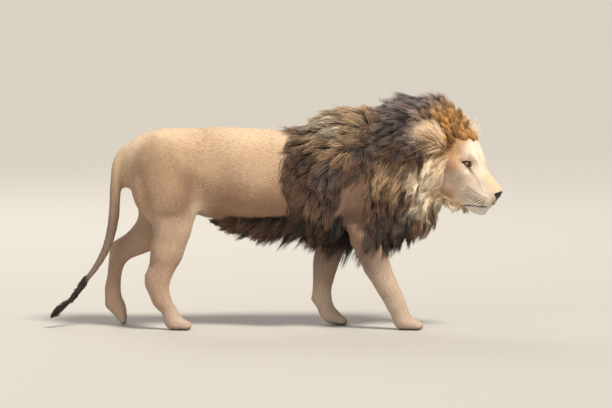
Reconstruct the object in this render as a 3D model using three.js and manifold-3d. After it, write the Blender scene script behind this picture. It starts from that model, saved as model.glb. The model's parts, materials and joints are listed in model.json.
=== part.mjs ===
// A life-size male lion, walking, as a still museum model.
// Millimetres. +X is the way the lion walks, +Y its left side, +Z up, and the floor is Z = 0.
// The body is a field of blended muscles: negative inside the coat, positive outside. Each node is
// a stretch of that field, meshed at its own pitch and parted from its neighbours by thin cuts.
import * as THREE from "three";
import { mergeVertices } from "three/addons/utils/BufferGeometryUtils.js";
import Module from "manifold-3d";

const wasm = await Module();
wasm.setup();

// ---- driving dimensions ----
const CUT = 0.4; // gap at a cut between two nodes
const BODY_BLEND = 55; // how softly limbs flow into the trunk
const HEAD_BLEND = 36; // how softly the forms of the head flow together
const LEG_BLEND = 30;
const TOE_BLEND = 9;
const MANE_BLEND = 70;
const FORE_TRACK = 116; // each fore limb's distance from the middle plane
const HIND_TRACK = 122;
const ELBOW_HEIGHT = 500; // the forelegs are parted from the chest here
const STIFLE_HEIGHT = 600; // the hind legs are parted from the rump here
const LOIN_X = -450; // rump in front of which the barrel begins
const GIRTH_X = 60; // barrel in front of which the chest begins

// The head turns a little to its right and dips, about a point between the eyes.
const HEAD = { at: [914, -50, 848], turn: 26, dip: 18 };
const EYE = { radius: 20, forward: -6, out: 50, up: -2 };
const EAR = {
  wide: 60, tall: 72, thick: 8, cup: 34,
  at: [-172, 124, 76], yaw: 42, lean: 24, back: 34,
  hollow: [62, 62, 72],
};

// The trunk's section, from tail root to breast: x, height of back, height of belly, half-width.
const TRUNK = [
  [-872, 905, 838, 30],
  [-830, 950, 745, 85],
  [-760, 993, 660, 130],
  [-660, 1022, 605, 158],
  [-520, 1036, 585, 163],
  [-400, 1036, 574, 165],
  [-200, 1024, 535, 188],
  [0, 1008, 518, 203],
  [160, 1010, 497, 202],
  [300, 1022, 470, 182],
  [430, 985, 480, 150],
  [530, 920, 560, 110],
  [600, 850, 650, 55],
];

// The tail's line down from the rump to its tuft, and its thickness along it.
const TAIL_LINE = [
  [-820, 0, 915], [-868, 0, 850], [-887, -2, 760], [-892, -5, 660], [-901, -8, 550],
  [-925, -12, 440], [-968, -18, 345], [-1030, -24, 258], [-1100, -30, 172], [-1150, -34, 122],
];
const TAIL_RADII = [46, 44, 38, 37, 35, 31, 26, 22, 19, 17];
const TUFT_LINE = [
  [-1120, -32, 151], [-1150, -34, 122], [-1180, -38, 92], [-1205, -42, 66], [-1222, -45, 50],
];
const TUFT_RADII = [21, 29, 33, 27, 8];
const TAIL_SIDES = 9;

// How far apart the faces of each node's surface are, along X, Y and Z.
const PITCH = {
  rump: [66, 60, 66],
  barrel: [88, 62, 66],
  chest: [66, 62, 66],
  head: [30, 26, 29],
  mane: [72, 66, 70],
  neck: [77, 70, 76],
  fringe: [76, 60, 62],
  foreleg: [46, 40, 64],
  gaskin: [58, 50, 62],
  hock: [42, 36, 54],
  paw: [26, 19.5, 26],
};

// ---- fields ----
const DEGREE = Math.PI / 180;
const vector = (a) => new THREE.Vector3(...a);

// An egg shape, turned about Y by tilt and about Z by swing, in degrees.
function egg(centre, [a, b, c], tilt = 0, swing = 0) {
  const out = new THREE.Matrix4().makeRotationZ(swing * DEGREE);
  out.multiply(new THREE.Matrix4().makeRotationY(tilt * DEGREE)).setPosition(...centre);
  const back = out.invert();
  const q = new THREE.Vector3();
  return (p) => {
    q.copy(p).applyMatrix4(back);
    const near = Math.hypot(q.x / a, q.y / b, q.z / c);
    const slope = Math.hypot(q.x / (a * a), q.y / (b * b), q.z / (c * c));
    return slope < 1e-9 ? -Math.min(a, b, c) : (near * (near - 1)) / slope;
  };
}

// A limb's stretch that tapers from one radius to another. Flat is its width over its depth.
function limb(from, to, startRadius, endRadius, flat = 1) {
  const axis = vector(to).sub(vector(from));
  axis.y /= flat;
  const start = vector(from);
  const length2 = axis.lengthSq();
  const q = new THREE.Vector3();
  return (p) => {
    q.set(p.x - start.x, (p.y - start.y) / flat, p.z - start.z);
    const t = THREE.MathUtils.clamp(q.dot(axis) / length2, 0, 1);
    q.addScaledVector(axis, -t);
    return (q.length() - startRadius - t * (endRadius - startRadius)) * Math.min(1, flat);
  };
}

// A chain of limb stretches through [x, z, radius] joints in one upright plane.
function chain(joints, y, flat = 0.85) {
  return joints.slice(1).map(([x, z, r], i) => {
    const [x0, z0, r0] = joints[i];
    return limb([x0, y, z0], [x, y, z], r0, r, flat);
  });
}

function blend(softness, fields) {
  return (p) => {
    let least = fields[0](p);
    for (let i = 1; i < fields.length; i++) {
      const next = fields[i](p);
      const h = Math.max(softness - Math.abs(least - next), 0) / softness;
      least = Math.min(least, next) - (h * h * softness) / 4;
    }
    return least;
  };
}

// The greater of two fields, with the edge between them rounded.
function softMost(softness, a, b) {
  const h = Math.max(softness - Math.abs(a - b), 0) / softness;
  return Math.max(a, b) + (h * h * softness) / 4;
}

// A smooth curve through a table's rows, read at x.
function rowAt(rows, x) {
  const last = rows.length - 1;
  const clamped = THREE.MathUtils.clamp(x, rows[0][0], rows[last][0]);
  const i = Math.min(rows.findIndex((r, n) => n > 0 && clamped <= r[0]), last);
  const [a, b] = [rows[i - 1], rows[i]];
  const before = rows[Math.max(i - 2, 0)];
  const after = rows[Math.min(i + 1, last)];
  const t = (clamped - a[0]) / (b[0] - a[0]);
  return a.slice(1).map((value, n) => {
    const inSlope = ((b[n + 1] - before[n + 1]) / (b[0] - before[0])) * (b[0] - a[0]);
    const outSlope = ((after[n + 1] - a[n + 1]) / (after[0] - a[0])) * (b[0] - a[0]);
    const [t2, t3] = [t * t, t * t * t];
    return (2 * t3 - 3 * t2 + 1) * value + (t3 - 2 * t2 + t) * inSlope
      + (3 * t2 - 2 * t3) * b[n + 1] + (t3 - t2) * outSlope;
  });
}

function barrelField(p) {
  const [back, belly, half] = rowAt(TRUNK, p.x);
  const deep = (back - belly) / 2;
  const up = Math.abs(p.z - (back + belly) / 2) / deep;
  const ring = (Math.pow(Math.abs(p.y / half), 2.3) + Math.pow(up, 2.3)) ** (1 / 2.3) - 1;
  const past = Math.max(TRUNK[0][0] - p.x, p.x - TRUNK[TRUNK.length - 1][0], 0);
  return ring * Math.min(half, deep) + past;
}

// ---- the paws: toes forward along local +X, sole on local Z = 0 ----
function pawField(at, { wide, long, heel, dip, turn }) {
  const place = new THREE.Matrix4().makeRotationZ(turn * DEGREE);
  place.multiply(new THREE.Matrix4().makeRotationY(dip * DEGREE)).setPosition(...at);
  const back = place.clone().invert();
  const toes = [-1.5, -0.5, 0.5, 1.5].map((row) => {
    const ahead = long * (Math.abs(row) < 1 ? 0.4 : 0.27);
    return egg([ahead, row * wide * 0.235, 27], [long * 0.24, wide * 0.145, 28], 12, row * 5);
  });
  const ball = egg([-long * 0.06, 0, 34], [long * 0.4, wide * 0.45, 36], 8);
  const root = limb([-long * 0.1, 0, 42], [-long * 0.3, 0, heel], wide * 0.36, wide * 0.34, 1.05);
  const field = blend(TOE_BLEND, [blend(LEG_BLEND, [ball, root]), ...toes]);
  const q = new THREE.Vector3();
  return (p) => field(q.copy(p).applyMatrix4(back));
}

// ---- the legs ----
const foreRight = {
  y: -FORE_TRACK,
  joints: [[425, 690, 104], [388, 480, 86], [438, 330, 73], [490, 225, 61], [532, 140, 52], [570, 74, 47]],
  extra: [egg([338, -FORE_TRACK, 478], [44, 40, 58], 20)],
  paw: { at: [600, -FORE_TRACK + 4, -4], wide: 122, long: 150, heel: 60, dip: 0, turn: -4 },
};
const foreLeft = {
  y: FORE_TRACK,
  joints: [[400, 690, 104], [238, 478, 86], [188, 350, 72], [170, 250, 59], [160, 150, 50], [186, 84, 46]],
  extra: [egg([182, FORE_TRACK, 492], [44, 40, 56], -6), egg([124, FORE_TRACK, 148], [20, 20, 20])],
  paw: { at: [214, FORE_TRACK, 10], wide: 120, long: 146, heel: 56, dip: 14, turn: 2 },
};
const hindRight = {
  y: -HIND_TRACK,
  joints: [[-640, 830, 150], [-612, 640, 118], [-592, 520, 96], [-622, 400, 88], [-655, 300, 66],
    [-678, 225, 56], [-650, 150, 52], [-600, 78, 47]],
  extra: [egg([-718, -HIND_TRACK, 248], [26, 24, 46], -14), egg([-722, -132, 700], [92, 62, 150], -14),
    egg([-540, -120, 590], [66, 44, 88], 26)],
  paw: { at: [-568, -HIND_TRACK, -4], wide: 108, long: 142, heel: 56, dip: 0, turn: -3 },
};
const hindLeft = {
  y: HIND_TRACK,
  joints: [[-650, 830, 150], [-650, 650, 118], [-668, 545, 98], [-740, 460, 84], [-820, 408, 64],
    [-880, 392, 50], [-898, 300, 46], [-914, 180, 46], [-916, 110, 46]],
  extra: [egg([-884, HIND_TRACK, 424], [30, 24, 30], 0), egg([-735, 128, 700], [92, 62, 140], -10),
    egg([-560, 118, 600], [64, 44, 84], 22)],
  paw: { at: [-906, HIND_TRACK, 50], wide: 104, long: 136, heel: 60, dip: 56, turn: 2 },
};
const legs = [foreRight, foreLeft, hindRight, hindLeft];
const legFields = legs.map((leg) => blend(LEG_BLEND, [...chain(leg.joints, leg.y), ...leg.extra]));
const pawFields = legs.map((leg) => pawField(leg.paw.at, leg.paw));

// ---- the head, in its own frame: +X along the muzzle, level with the lips ----
const headPlace = new THREE.Matrix4().makeRotationZ(-HEAD.turn * DEGREE);
headPlace.multiply(new THREE.Matrix4().makeRotationY(HEAD.dip * DEGREE)).setPosition(...HEAD.at);
const headBack = headPlace.clone().invert();
const onHead = (a) => vector(a).applyMatrix4(headPlace).toArray();

const headForms = [
  egg([-118, 0, 52], [126, 100, 94]), // braincase
  egg([-34, 0, 58], [98, 84, 70], 44), // forehead
  limb([-24, -58, -34], [-24, 58, -34], 60, 60, 1), // between the cheekbones
  egg([-72, 72, -46], [92, 54, 68]), // cheekbone
  egg([-98, 66, -124], [86, 50, 84], 14), // jaw muscle
  egg([32, 42, 36], [42, 32, 22], 40, -10), // brow
  limb([52, 0, -22], [168, 0, -92], 48, 42, 1.02), // bridge of the nose
  egg([186, 0, -98], [30, 40, 30], 34), // end of the nose
  egg([130, 38, -146], [60, 38, 54], 22), // whisker pad
  egg([44, 46, -112], [76, 38, 68], 24), // flank of the muzzle
  egg([116, 0, -204], [50, 42, 34], 6), // chin
  limb([92, 22, -198], [-84, 64, -170], 30, 50, 0.8), // lower jaw
];
const eyePit = egg([24, 62, -3], [24, 21, 13], 14, 36);
const headField = (() => {
  const forms = blend(HEAD_BLEND, headForms);
  const q = new THREE.Vector3();
  return (p) => {
    q.copy(p).applyMatrix4(headBack);
    q.y = Math.abs(q.y);
    return softMost(14, forms(q), -eyePit(q));
  };
})();

// ---- the whole of the flesh, with its short coat ----
const throatField = blend(60, [
  limb([300, 0, 800], [560, 0, 850], 190, 158, 0.84),
  limb([560, 0, 850], onHead([-168, 0, -30]), 158, 128, 0.86),
  limb([500, 0, 700], onHead([-140, 0, -110]), 120, 88, 0.9),
]);
const fleshField = blend(BODY_BLEND, [
  blend(40, [
    barrelField,
    egg([336, -124, 800], [112, 78, 215], 12), // right shoulder
    egg([326, 124, 800], [112, 78, 215], 16), // left shoulder
    egg([-560, -104, 900], [120, 62, 80], -10), // right hip
    egg([-560, 104, 900], [120, 62, 80], -10), // left hip
    limb([-440, 0, 562], [-345, 0, 520], 26, 46, 0.9), // sheath
    egg([-826, 0, 734], [36, 34, 46]), // scrotum
  ]),
  ...legFields,
  throatField,
  headField,
]);
const wholeField = blend(14, [fleshField, ...pawFields]);

// ---- the mane, out to the tips of its hair ----
const maneField = blend(MANE_BLEND, [
  egg([668, 0, 1008], [258, 138, 196], 2), // crest
  egg([312, 0, 948], [262, 176, 176]), // withers
  egg([560, 0, 830], [275, 228, 300], -4), // neck
  egg(onHead([-176, 0, -64]), [120, 196, 236], HEAD.dip, -HEAD.turn), // ruff
  egg([752, -20, 652], [156, 140, 156], -12), // beard
  egg([505, 0, 590], [122, 186, 226], 0), // breast
  egg([158, -188, 745], [146, 66, 250], -4, -4), // right shoulder lock
  egg([158, 188, 745], [146, 66, 250], -4, 4), // left shoulder lock
  egg([150, 0, 560], [220, 178, 130], 4), // girth
]);
const fringeField = blend(60, [
  limb([-352, 0, 520], [-170, 0, 486], 44, 98, 0.78),
  limb([-170, 0, 486], [130, 0, 496], 98, 108, 0.95),
  limb([130, 0, 496], [318, 0, 400], 108, 104, 1),
]);

// ---- meshing a field ----
const lines = (from, to, step) => {
  const count = Math.max(2, Math.round((to - from) / step));
  return Array.from({ length: count + 1 }, (_, i) => from + ((to - from) * i) / count);
};

// Moves a point onto the zero of a field, along its slope.
function settle(p, field, reach) {
  const start = p.clone();
  const step = 0.5;
  for (let turn = 0; turn < 4; turn++) {
    const value = field(p);
    const slope = new THREE.Vector3(
      field(p.clone().setX(p.x + step)) - value,
      field(p.clone().setY(p.y + step)) - value,
      field(p.clone().setZ(p.z + step)) - value,
    ).divideScalar(step);
    p.addScaledVector(slope, -value / Math.max(slope.lengthSq(), 0.05));
  }
  if (p.distanceTo(start) > reach) p.copy(start);
}

const OUTSIDE = 1e6;
const corners = [0, 1, 2, 3, 4, 5, 6, 7].map((c) => [c & 1, (c >> 1) & 1, (c >> 2) & 1]);

// Whether a cell's corners on one side of the surface are joined to each other along its edges.
function inOnePiece(inside, wanted) {
  const members = [0, 1, 2, 3, 4, 5, 6, 7].filter((c) => inside[c] === wanted);
  const reached = members.slice(0, 1);
  for (const c of reached)
    for (const bit of [1, 2, 4])
      if (inside[c ^ bit] === wanted && !reached.includes(c ^ bit)) reached.push(c ^ bit);
  return reached.length === members.length;
}

// A closed mesh of the space where the field is negative, on a grid of lines in a placed frame.
// Where two sheets of the surface would share a cell, its weakest corner changes sides first.
// Each grid cell that the surface crosses holds one vertex, and each crossed edge one quad.
function meshField(field, low, high, pitch, place = new THREE.Matrix4()) {
  const axes = [0, 1, 2].map((k) => lines(low[k], high[k], pitch[k]));
  const [nx, ny, nz] = axes.map((a) => a.length);
  const index = (i, j, k) => (i * ny + j) * nz + k;
  const point = (i, j, k) => new THREE.Vector3(axes[0][i], axes[1][j], axes[2][k]);
  const values = new Float64Array(nx * ny * nz);
  for (let i = 0; i < nx; i++)
    for (let j = 0; j < ny; j++)
      for (let k = 0; k < nz; k++) {
        const rim = i * j * k === 0 || i === nx - 1 || j === ny - 1 || k === nz - 1;
        values[index(i, j, k)] = rim ? OUTSIDE : field(point(i, j, k).applyMatrix4(place));
      }
  const firmness = values.map(Math.abs);
  for (let pass = 0, tangles = 1; tangles > 0; pass++) {
    tangles = 0;
    for (let i = 0; i < nx - 1; i++)
      for (let j = 0; j < ny - 1; j++)
        for (let k = 0; k < nz - 1; k++) {
          const around = corners.map(([a, b, c]) => index(i + a, j + b, k + c));
          const inside = around.map((n) => values[n] < 0);
          if (inOnePiece(inside, true) && inOnePiece(inside, false)) continue;
          const open = around.filter((n, c) => firmness[n] < OUTSIDE && (pass < 6 || !inside[c]));
          const weakest = open.reduce((a, b) => (firmness[a] <= firmness[b] ? a : b));
          values[weakest] = values[weakest] < 0 ? 0.5 : -0.5;
          firmness[weakest] += 200;
          tangles++;
        }
  }
  const cellVertex = new Int32Array(nx * ny * nz).fill(-1);
  const vertices = [];
  for (let i = 0; i < nx - 1; i++)
    for (let j = 0; j < ny - 1; j++)
      for (let k = 0; k < nz - 1; k++) {
        const held = corners.map(([a, b, c]) => values[index(i + a, j + b, k + c)]);
        const inside = held.filter((v) => v < 0).length;
        if (inside === 0 || inside === 8) continue;
        const sum = new THREE.Vector3();
        let crossings = 0;
        corners.forEach((from, c) => [1, 2, 4].forEach((bit) => {
          if (c & bit || held[c] < 0 === held[c | bit] < 0) return;
          const to = corners[c | bit];
          const share = held[c] / (held[c] - held[c | bit]);
          const a = point(i + from[0], j + from[1], k + from[2]);
          sum.add(a.lerp(point(i + to[0], j + to[1], k + to[2]), share));
          crossings++;
        }));
        const p = sum.divideScalar(crossings).applyMatrix4(place);
        const rim = i * j * k === 0 || i === nx - 2 || j === ny - 2 || k === nz - 2;
        if (!rim) settle(p, field, 0.7 * Math.min(...pitch));
        cellVertex[index(i, j, k)] = vertices.length;
        vertices.push(p);
      }
  const faces = [];
  const quad = (a, b, c, d, turned) => {
    const round = turned ? [d, c, b, a] : [a, b, c, d];
    const [p, q, r, s] = round.map((v) => vertices[v]);
    const [w, x, y, z] = round;
    if (p.distanceTo(r) <= q.distanceTo(s)) faces.push(w, x, y, w, y, z);
    else faces.push(x, y, z, x, z, w);
  };
  for (let i = 0; i < nx - 1; i++)
    for (let j = 0; j < ny - 1; j++)
      for (let k = 0; k < nz - 1; k++) {
        const here = values[index(i, j, k)] < 0;
        const cell = (a, b, c) => cellVertex[index(i - a, j - b, k - c)];
        if (j && k && here !== values[index(i + 1, j, k)] < 0)
          quad(cell(0, 1, 1), cell(0, 0, 1), cell(0, 0, 0), cell(0, 1, 0), !here);
        if (i && k && here !== values[index(i, j + 1, k)] < 0)
          quad(cell(1, 0, 1), cell(1, 0, 0), cell(0, 0, 0), cell(0, 0, 1), !here);
        if (i && j && here !== values[index(i, j, k + 1)] < 0)
          quad(cell(1, 1, 0), cell(0, 1, 0), cell(0, 0, 0), cell(1, 0, 0), !here);
      }
  const geometry = new THREE.BufferGeometry();
  const places = vertices.flatMap((v) => v.toArray());
  geometry.setAttribute("position", new THREE.Float32BufferAttribute(places, 3));
  return geometry.setIndex(faces);
}

// ---- solids ----
function solidOf(geometry) {
  const bare = geometry.clone();
  bare.deleteAttribute("normal");
  bare.deleteAttribute("uv");
  const merged = mergeVertices(bare, 1e-3);
  return new wasm.Manifold(new wasm.Mesh({
    numProp: 3,
    vertProperties: merged.attributes.position.array,
    triVerts: new Uint32Array(merged.index.array),
  }));
}

function geometryOf(solid) {
  const { numProp, numVert, vertProperties, triVerts } = solid.getMesh();
  const positions = new Float32Array(numVert * 3);
  for (let i = 0; i < numVert; i++) {
    const start = i * numProp;
    positions.set(vertProperties.subarray(start, start + 3), i * 3);
  }
  const geometry = new THREE.BufferGeometry();
  geometry.setAttribute("position", new THREE.BufferAttribute(positions, 3));
  return geometry.setIndex(Array.from(triVerts));
}

// The solid grown by a little along its vertex normals, so that what it cuts keeps a gap to it.
function swollen(solid, by = 0.8) {
  const geometry = geometryOf(solid);
  geometry.computeVertexNormals();
  const { position, normal } = geometry.attributes;
  for (let i = 0; i < position.array.length; i++) position.array[i] += by * normal.array[i];
  return solidOf(geometry);
}

const REACH = 4000;
// The half of space behind a plane, on the side that its normal points away from.
function behind(at, normal) {
  const block = new THREE.BoxGeometry(REACH, REACH, REACH).translate(0, 0, -REACH / 2 - CUT / 2);
  const up = new THREE.Vector3(0, 0, 1);
  const turn = new THREE.Quaternion().setFromUnitVectors(up, vector(normal).normalize());
  return solidOf(block.applyQuaternion(turn).translate(...at));
}
const ahead = (at, normal) => behind(at, normal.map((n) => -n));
const keep = (solid, ...halves) => halves.reduce((left, half) => left.intersect(half), solid);

function block(low, high, grow = 0) {
  const size = high.map((h, k) => h - low[k] + 2 * grow);
  const middle = high.map((h, k) => (h + low[k]) / 2);
  return solidOf(new THREE.BoxGeometry(...size).translate(...middle));
}

const largest = (solid) => solid.decompose().reduce((a, b) => (a.volume() > b.volume() ? a : b));
const without = (solid, others, gap = 0.8) => (
  largest(others.reduce((left, other) => left.subtract(swollen(other, gap)), solid)));

// A closed tube along a line, with its own radius at each of the line's points.
function taperedTube(points, radii, rings, sides) {
  const curve = new THREE.CatmullRomCurve3(points.map(vector), false, "centripetal");
  const vertices = [];
  const faces = [];
  for (let ring = 0; ring <= rings; ring++) {
    const t = ring / rings;
    const centre = curve.getPoint(t);
    const along = curve.getTangent(t);
    const side = new THREE.Vector3(0, 1, 0).addScaledVector(along, -along.y).normalize();
    const up = new THREE.Vector3().crossVectors(along, side);
    const row = Math.min(Math.floor(t * (radii.length - 1)), radii.length - 2);
    const radius = THREE.MathUtils.lerp(radii[row], radii[row + 1], t * (radii.length - 1) - row);
    for (let s = 0; s < sides; s++) {
      const angle = (2 * Math.PI * s) / sides;
      const out = side.clone().multiplyScalar(Math.cos(angle)).addScaledVector(up, Math.sin(angle));
      vertices.push(...centre.clone().addScaledVector(out, radius).toArray());
      const next = ring * sides + ((s + 1) % sides);
      const here = ring * sides + s;
      if (ring < rings) faces.push(here, next, here + sides, next, next + sides, here + sides);
    }
  }
  const end = rings * sides;
  for (let s = 1; s < sides - 1; s++) faces.push(0, s + 1, s, end, end + s, end + s + 1);
  const geometry = new THREE.BufferGeometry();
  geometry.setAttribute("position", new THREE.Float32BufferAttribute(vertices, 3));
  return solidOf(geometry.setIndex(faces));
}

// ---- the nodes ----
const coat = { tawny: 0xb08a68, pale: 0xd9bd98, dark: 0x4a362c, gold: 0xc08a4e, black: 0x1c1614 };
const lion = new THREE.Group();
function add(name, solid, colour, roughness = 0.9) {
  const material = new THREE.MeshStandardMaterial({ color: colour, roughness, metalness: 0 });
  const mesh = new THREE.Mesh(geometryOf(solid), material);
  mesh.name = name;
  lion.add(mesh);
  return solid;
}
const shapeOf = (field, low, high, pitch, place) => solidOf(meshField(field, low, high, pitch, place));

// The planes that part the trunk and the mane, each a point and the way that faces forward or down.
const LOIN = [[LOIN_X, 0, 0], [1, 0, 0]];
const GIRTH = [[GIRTH_X, 0, 0], [1, 0, 0]];
const WITHERS = [[392, 0, 850], [1, 0, 0.12]];
const NAPE = [[668, 0, 800], [0.98, 0, -0.2]];
const BELLY = [[0, 0, 552], [0, 0, -1]];
const BREAST = [[0, 0, 560], [0, 0, -1]];
const onHeadPlane = (at, normal) => {
  const from = vector(at).add(vector(normal));
  return [onHead(at), from.applyMatrix4(headPlace).sub(vector(onHead(at))).toArray()];
};
const FACE = onHeadPlane([-78, 0, 0], [1, 0, 0]);
const JAW = onHeadPlane([0, 0, -150], [0, 0, -1]);
const TEMPLES = [-1, 1].map((side) => onHeadPlane([-78, side * 112, 0], [0.8, side * 0.6, 0.1]));

// The legs are parted from the trunk by blocks, one for each limb.
const legBlock = (back, front, near, far, top, side) => {
  const [low, high] = side < 0 ? [-far, -near] : [near, far];
  return (grow) => block([back, low, -60], [front, high, top], grow);
};
const foreBlock = (side) => legBlock(GIRTH_X, 760, 48, 400, ELBOW_HEIGHT, side);
const hindBlock = (side) => legBlock(-1150, LOIN_X, 34, 400, STIFLE_HEIGHT, side);
const lessLegs = (solid, blockOf) => largest(
  [-1, 1].reduce((left, side) => left.subtract(blockOf(side)(CUT / 2)), solid));

// Trunk.
const rumpShape = shapeOf(fleshField, [-960, -270, 500], [-370, 270, 1090], PITCH.rump);
const rump = add("rump", lessLegs(keep(rumpShape, behind(...LOIN)), hindBlock), coat.tawny);
const bodyField = (p) => Math.min(fleshField(p), maneField(p));
const barrelShape = shapeOf(bodyField, [-560, -290, 400], [180, 290, 1100], PITCH.barrel);
add("barrel", largest(keep(barrelShape, ahead(...LOIN), behind(...GIRTH), behind(...BELLY))), coat.tawny);
const chestShape = shapeOf(bodyField, [-30, -290, 400], [480, 290, 1200], PITCH.chest);
const chestKept = keep(chestShape, ahead(...GIRTH), behind(...WITHERS), behind(...BELLY));
add("chest", largest(chestKept), coat.tawny);

// Head, eyes, nose and ears.
const eyeball = (side) => {
  const ball = new THREE.SphereGeometry(EYE.radius, 12, 8).rotateY(0.5);
  return solidOf(ball.translate(EYE.forward, side * EYE.out, EYE.up).applyMatrix4(headPlace));
};
const eyes = { right: eyeball(-1), left: eyeball(1) };
const headShape = shapeOf(headField, [-130, -166, -268], [246, 166, 192], PITCH.head, headPlace);
const noseBlock = solidOf(new THREE.BoxGeometry(60, 76, 44).rotateY(-0.5).translate(208, 0, -108)
  .applyMatrix4(headPlace));
let head = without(keep(headShape, ahead(...FACE)), Object.values(eyes));
add("nose", largest(head.intersect(noseBlock)), coat.black, 0.5);
head = add("head", largest(head.subtract(swollen(noseBlock, CUT))), coat.pale);
for (const side of ["right", "left"]) add("eye_" + side, eyes[side], 0xb87a2a, 0.15);

// An ear, cupped forward and leaning back, and the hollow of the mane that it stands in.
const placedEar = (shape, side) => {
  const [x, y, z] = EAR.at;
  shape.rotateZ(side * EAR.yaw * DEGREE).rotateX(-side * EAR.lean * DEGREE).rotateY(-EAR.back * DEGREE);
  return solidOf(shape.translate(x, side * y, z).applyMatrix4(headPlace));
};
function earSolid(side) {
  const shell = new THREE.SphereGeometry(1, 12, 8);
  const { position } = shell.attributes;
  for (let i = 0; i < position.count; i++) {
    const [x, y, z] = [position.getX(i), position.getY(i), position.getZ(i)];
    const bowl = EAR.cup * (y * y * 0.9 + Math.min(z, 0) ** 2 * 0.5);
    position.setXYZ(i, x * EAR.thick + bowl, y * EAR.wide * (1 - 0.14 * z), z * EAR.tall);
  }
  return placedEar(shell, side);
}
const hollow = (side) => {
  const ball = new THREE.SphereGeometry(1, 8, 6).scale(...EAR.hollow);
  return placedEar(ball.translate(50, 0, 0), side);
};
const roundEars = (solid) => (
  without([-1, 1].reduce((left, side) => left.subtract(hollow(side)), solid), ears, 2.5));
const ears = [["right", -1], ["left", 1]].map(([side, sign]) => (
  add("ear_" + side, without(earSolid(sign), [head]), coat.gold)));

// Mane: the neck and breast with the hair round them, and the fringe under the belly.
const neckField = (p) => Math.min(bodyField(p), headField(p));
const maneShape = shapeOf(maneField, [500, -290, 400], [1060, 290, 1260], PITCH.mane);
const crown = keep(maneShape, ahead(...NAPE), behind(...FACE), ...TEMPLES.map((plane) => behind(...plane)));
add("mane_head", roundEars(crown), coat.gold);
add("beard", without(keep(maneShape, ahead(...FACE), ahead(...JAW)), [head]), coat.gold);
const napeShape = shapeOf(bodyField, [300, -290, 280], [880, 290, 1260], PITCH.neck);
const nape = keep(napeShape, behind(...NAPE), ahead(...WITHERS));
add("mane_neck", roundEars(keep(nape, behind(...BREAST))), coat.dark);
add("mane_breast", lessLegs(keep(nape, ahead(...BREAST)), foreBlock), coat.dark);
const underField = (p) => Math.min(bodyField(p), fringeField(p));
const fringeShape = shapeOf(underField, [-470, -230, 230], [480, 230, 650], PITCH.fringe);
add("belly_fringe", lessLegs(keep(fringeShape, behind(...WITHERS), ahead(...BELLY)), foreBlock), coat.dark);

// Legs: each is parted at the wrist or hock, and a hind leg again above its paw.
const FLOOR = behind([0, 0, CUT / 2], [0, 0, -1]);
const foreCuts = [
  { side: "right", at: [536, 0, 132], normal: [0.42, 0, -0.9], x: [270, 600] },
  { side: "left", at: [160, 0, 146], normal: [0.1, 0, -1], x: [70, 420] },
];
for (const { side, at, normal, x } of foreCuts) {
  const sign = side === "right" ? -1 : 1;
  const [low, high] = sign < 0 ? [-230, -20] : [20, 230];
  const upper = shapeOf(wholeField, [x[0] - 20, low, 50], [x[1] + 70, high, 570], PITCH.foreleg);
  add(side + "_foreleg", largest(keep(upper, foreBlock(sign)(-CUT / 2), behind(at, normal))), coat.tawny);
  const paw = shapeOf(wholeField, [at[0] - 96, low, -60], [at[0] + 194, high, 210], PITCH.paw);
  add(side + "_forepaw", largest(keep(paw, ahead(at, normal), FLOOR)), coat.pale);
}
const hindCuts = [
  {
    side: "right", hock: [-655, 0, 290], shank: [-0.25, 0, -0.97],
    ankle: [-618, 0, 100], foot: [0.6, 0, -0.8],
  },
  {
    side: "left", hock: [-838, 0, 404], shank: [-0.94, 0, -0.34],
    ankle: [-914, 0, 128], foot: [0, 0, -1],
  },
];
for (const { side, hock, shank, ankle, foot } of hindCuts) {
  const sign = side === "right" ? -1 : 1;
  const [low, high] = sign < 0 ? [-240, -10] : [10, 240];
  const upper = shapeOf(wholeField, [-970, low, 190], [-390, high, 680], PITCH.gaskin);
  add(side + "_gaskin", largest(keep(upper, hindBlock(sign)(-CUT / 2), behind(hock, shank))), coat.tawny);
  const middle = shapeOf(wholeField, [-1010, low, 30], [-530, high, 510], PITCH.hock);
  add(side + "_hock", largest(keep(middle, ahead(hock, shank), behind(ankle, foot))), coat.tawny);
  const paw = shapeOf(wholeField, [ankle[0] - 96, low, -60], [ankle[0] + 194, high, 210], PITCH.paw);
  add(side + "_hindpaw", largest(keep(paw, ahead(ankle, foot), FLOOR)), coat.pale);
}

// Tail, in three lengths and its tuft.
const tail = without(taperedTube(TAIL_LINE, TAIL_RADII, 18, TAIL_SIDES), [rump]);
const TAIL_CUTS = [[[-897, 0, 600], [-0.1, 0, -1]], [[-968, 0, 345], [-0.5, 0, -0.86]]];
add("tail_root", largest(keep(tail, behind(...TAIL_CUTS[0]))), coat.tawny);
add("tail_middle", largest(keep(tail, ahead(...TAIL_CUTS[0]), behind(...TAIL_CUTS[1]))), coat.tawny);
const tuft = taperedTube(TUFT_LINE, TUFT_RADII, 6, TAIL_SIDES);
add("tail_end", without(keep(tail, ahead(...TAIL_CUTS[1])), [tuft]), coat.tawny);
add("tail_tuft", tuft, coat.black);

// The lion stands with the middle of its box over the origin.
const box = new THREE.Box3().setFromObject(lion);
lion.position.set(-(box.min.x + box.max.x) / 2, -(box.min.y + box.max.y) / 2, -box.min.z);
export default lion;
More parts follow.
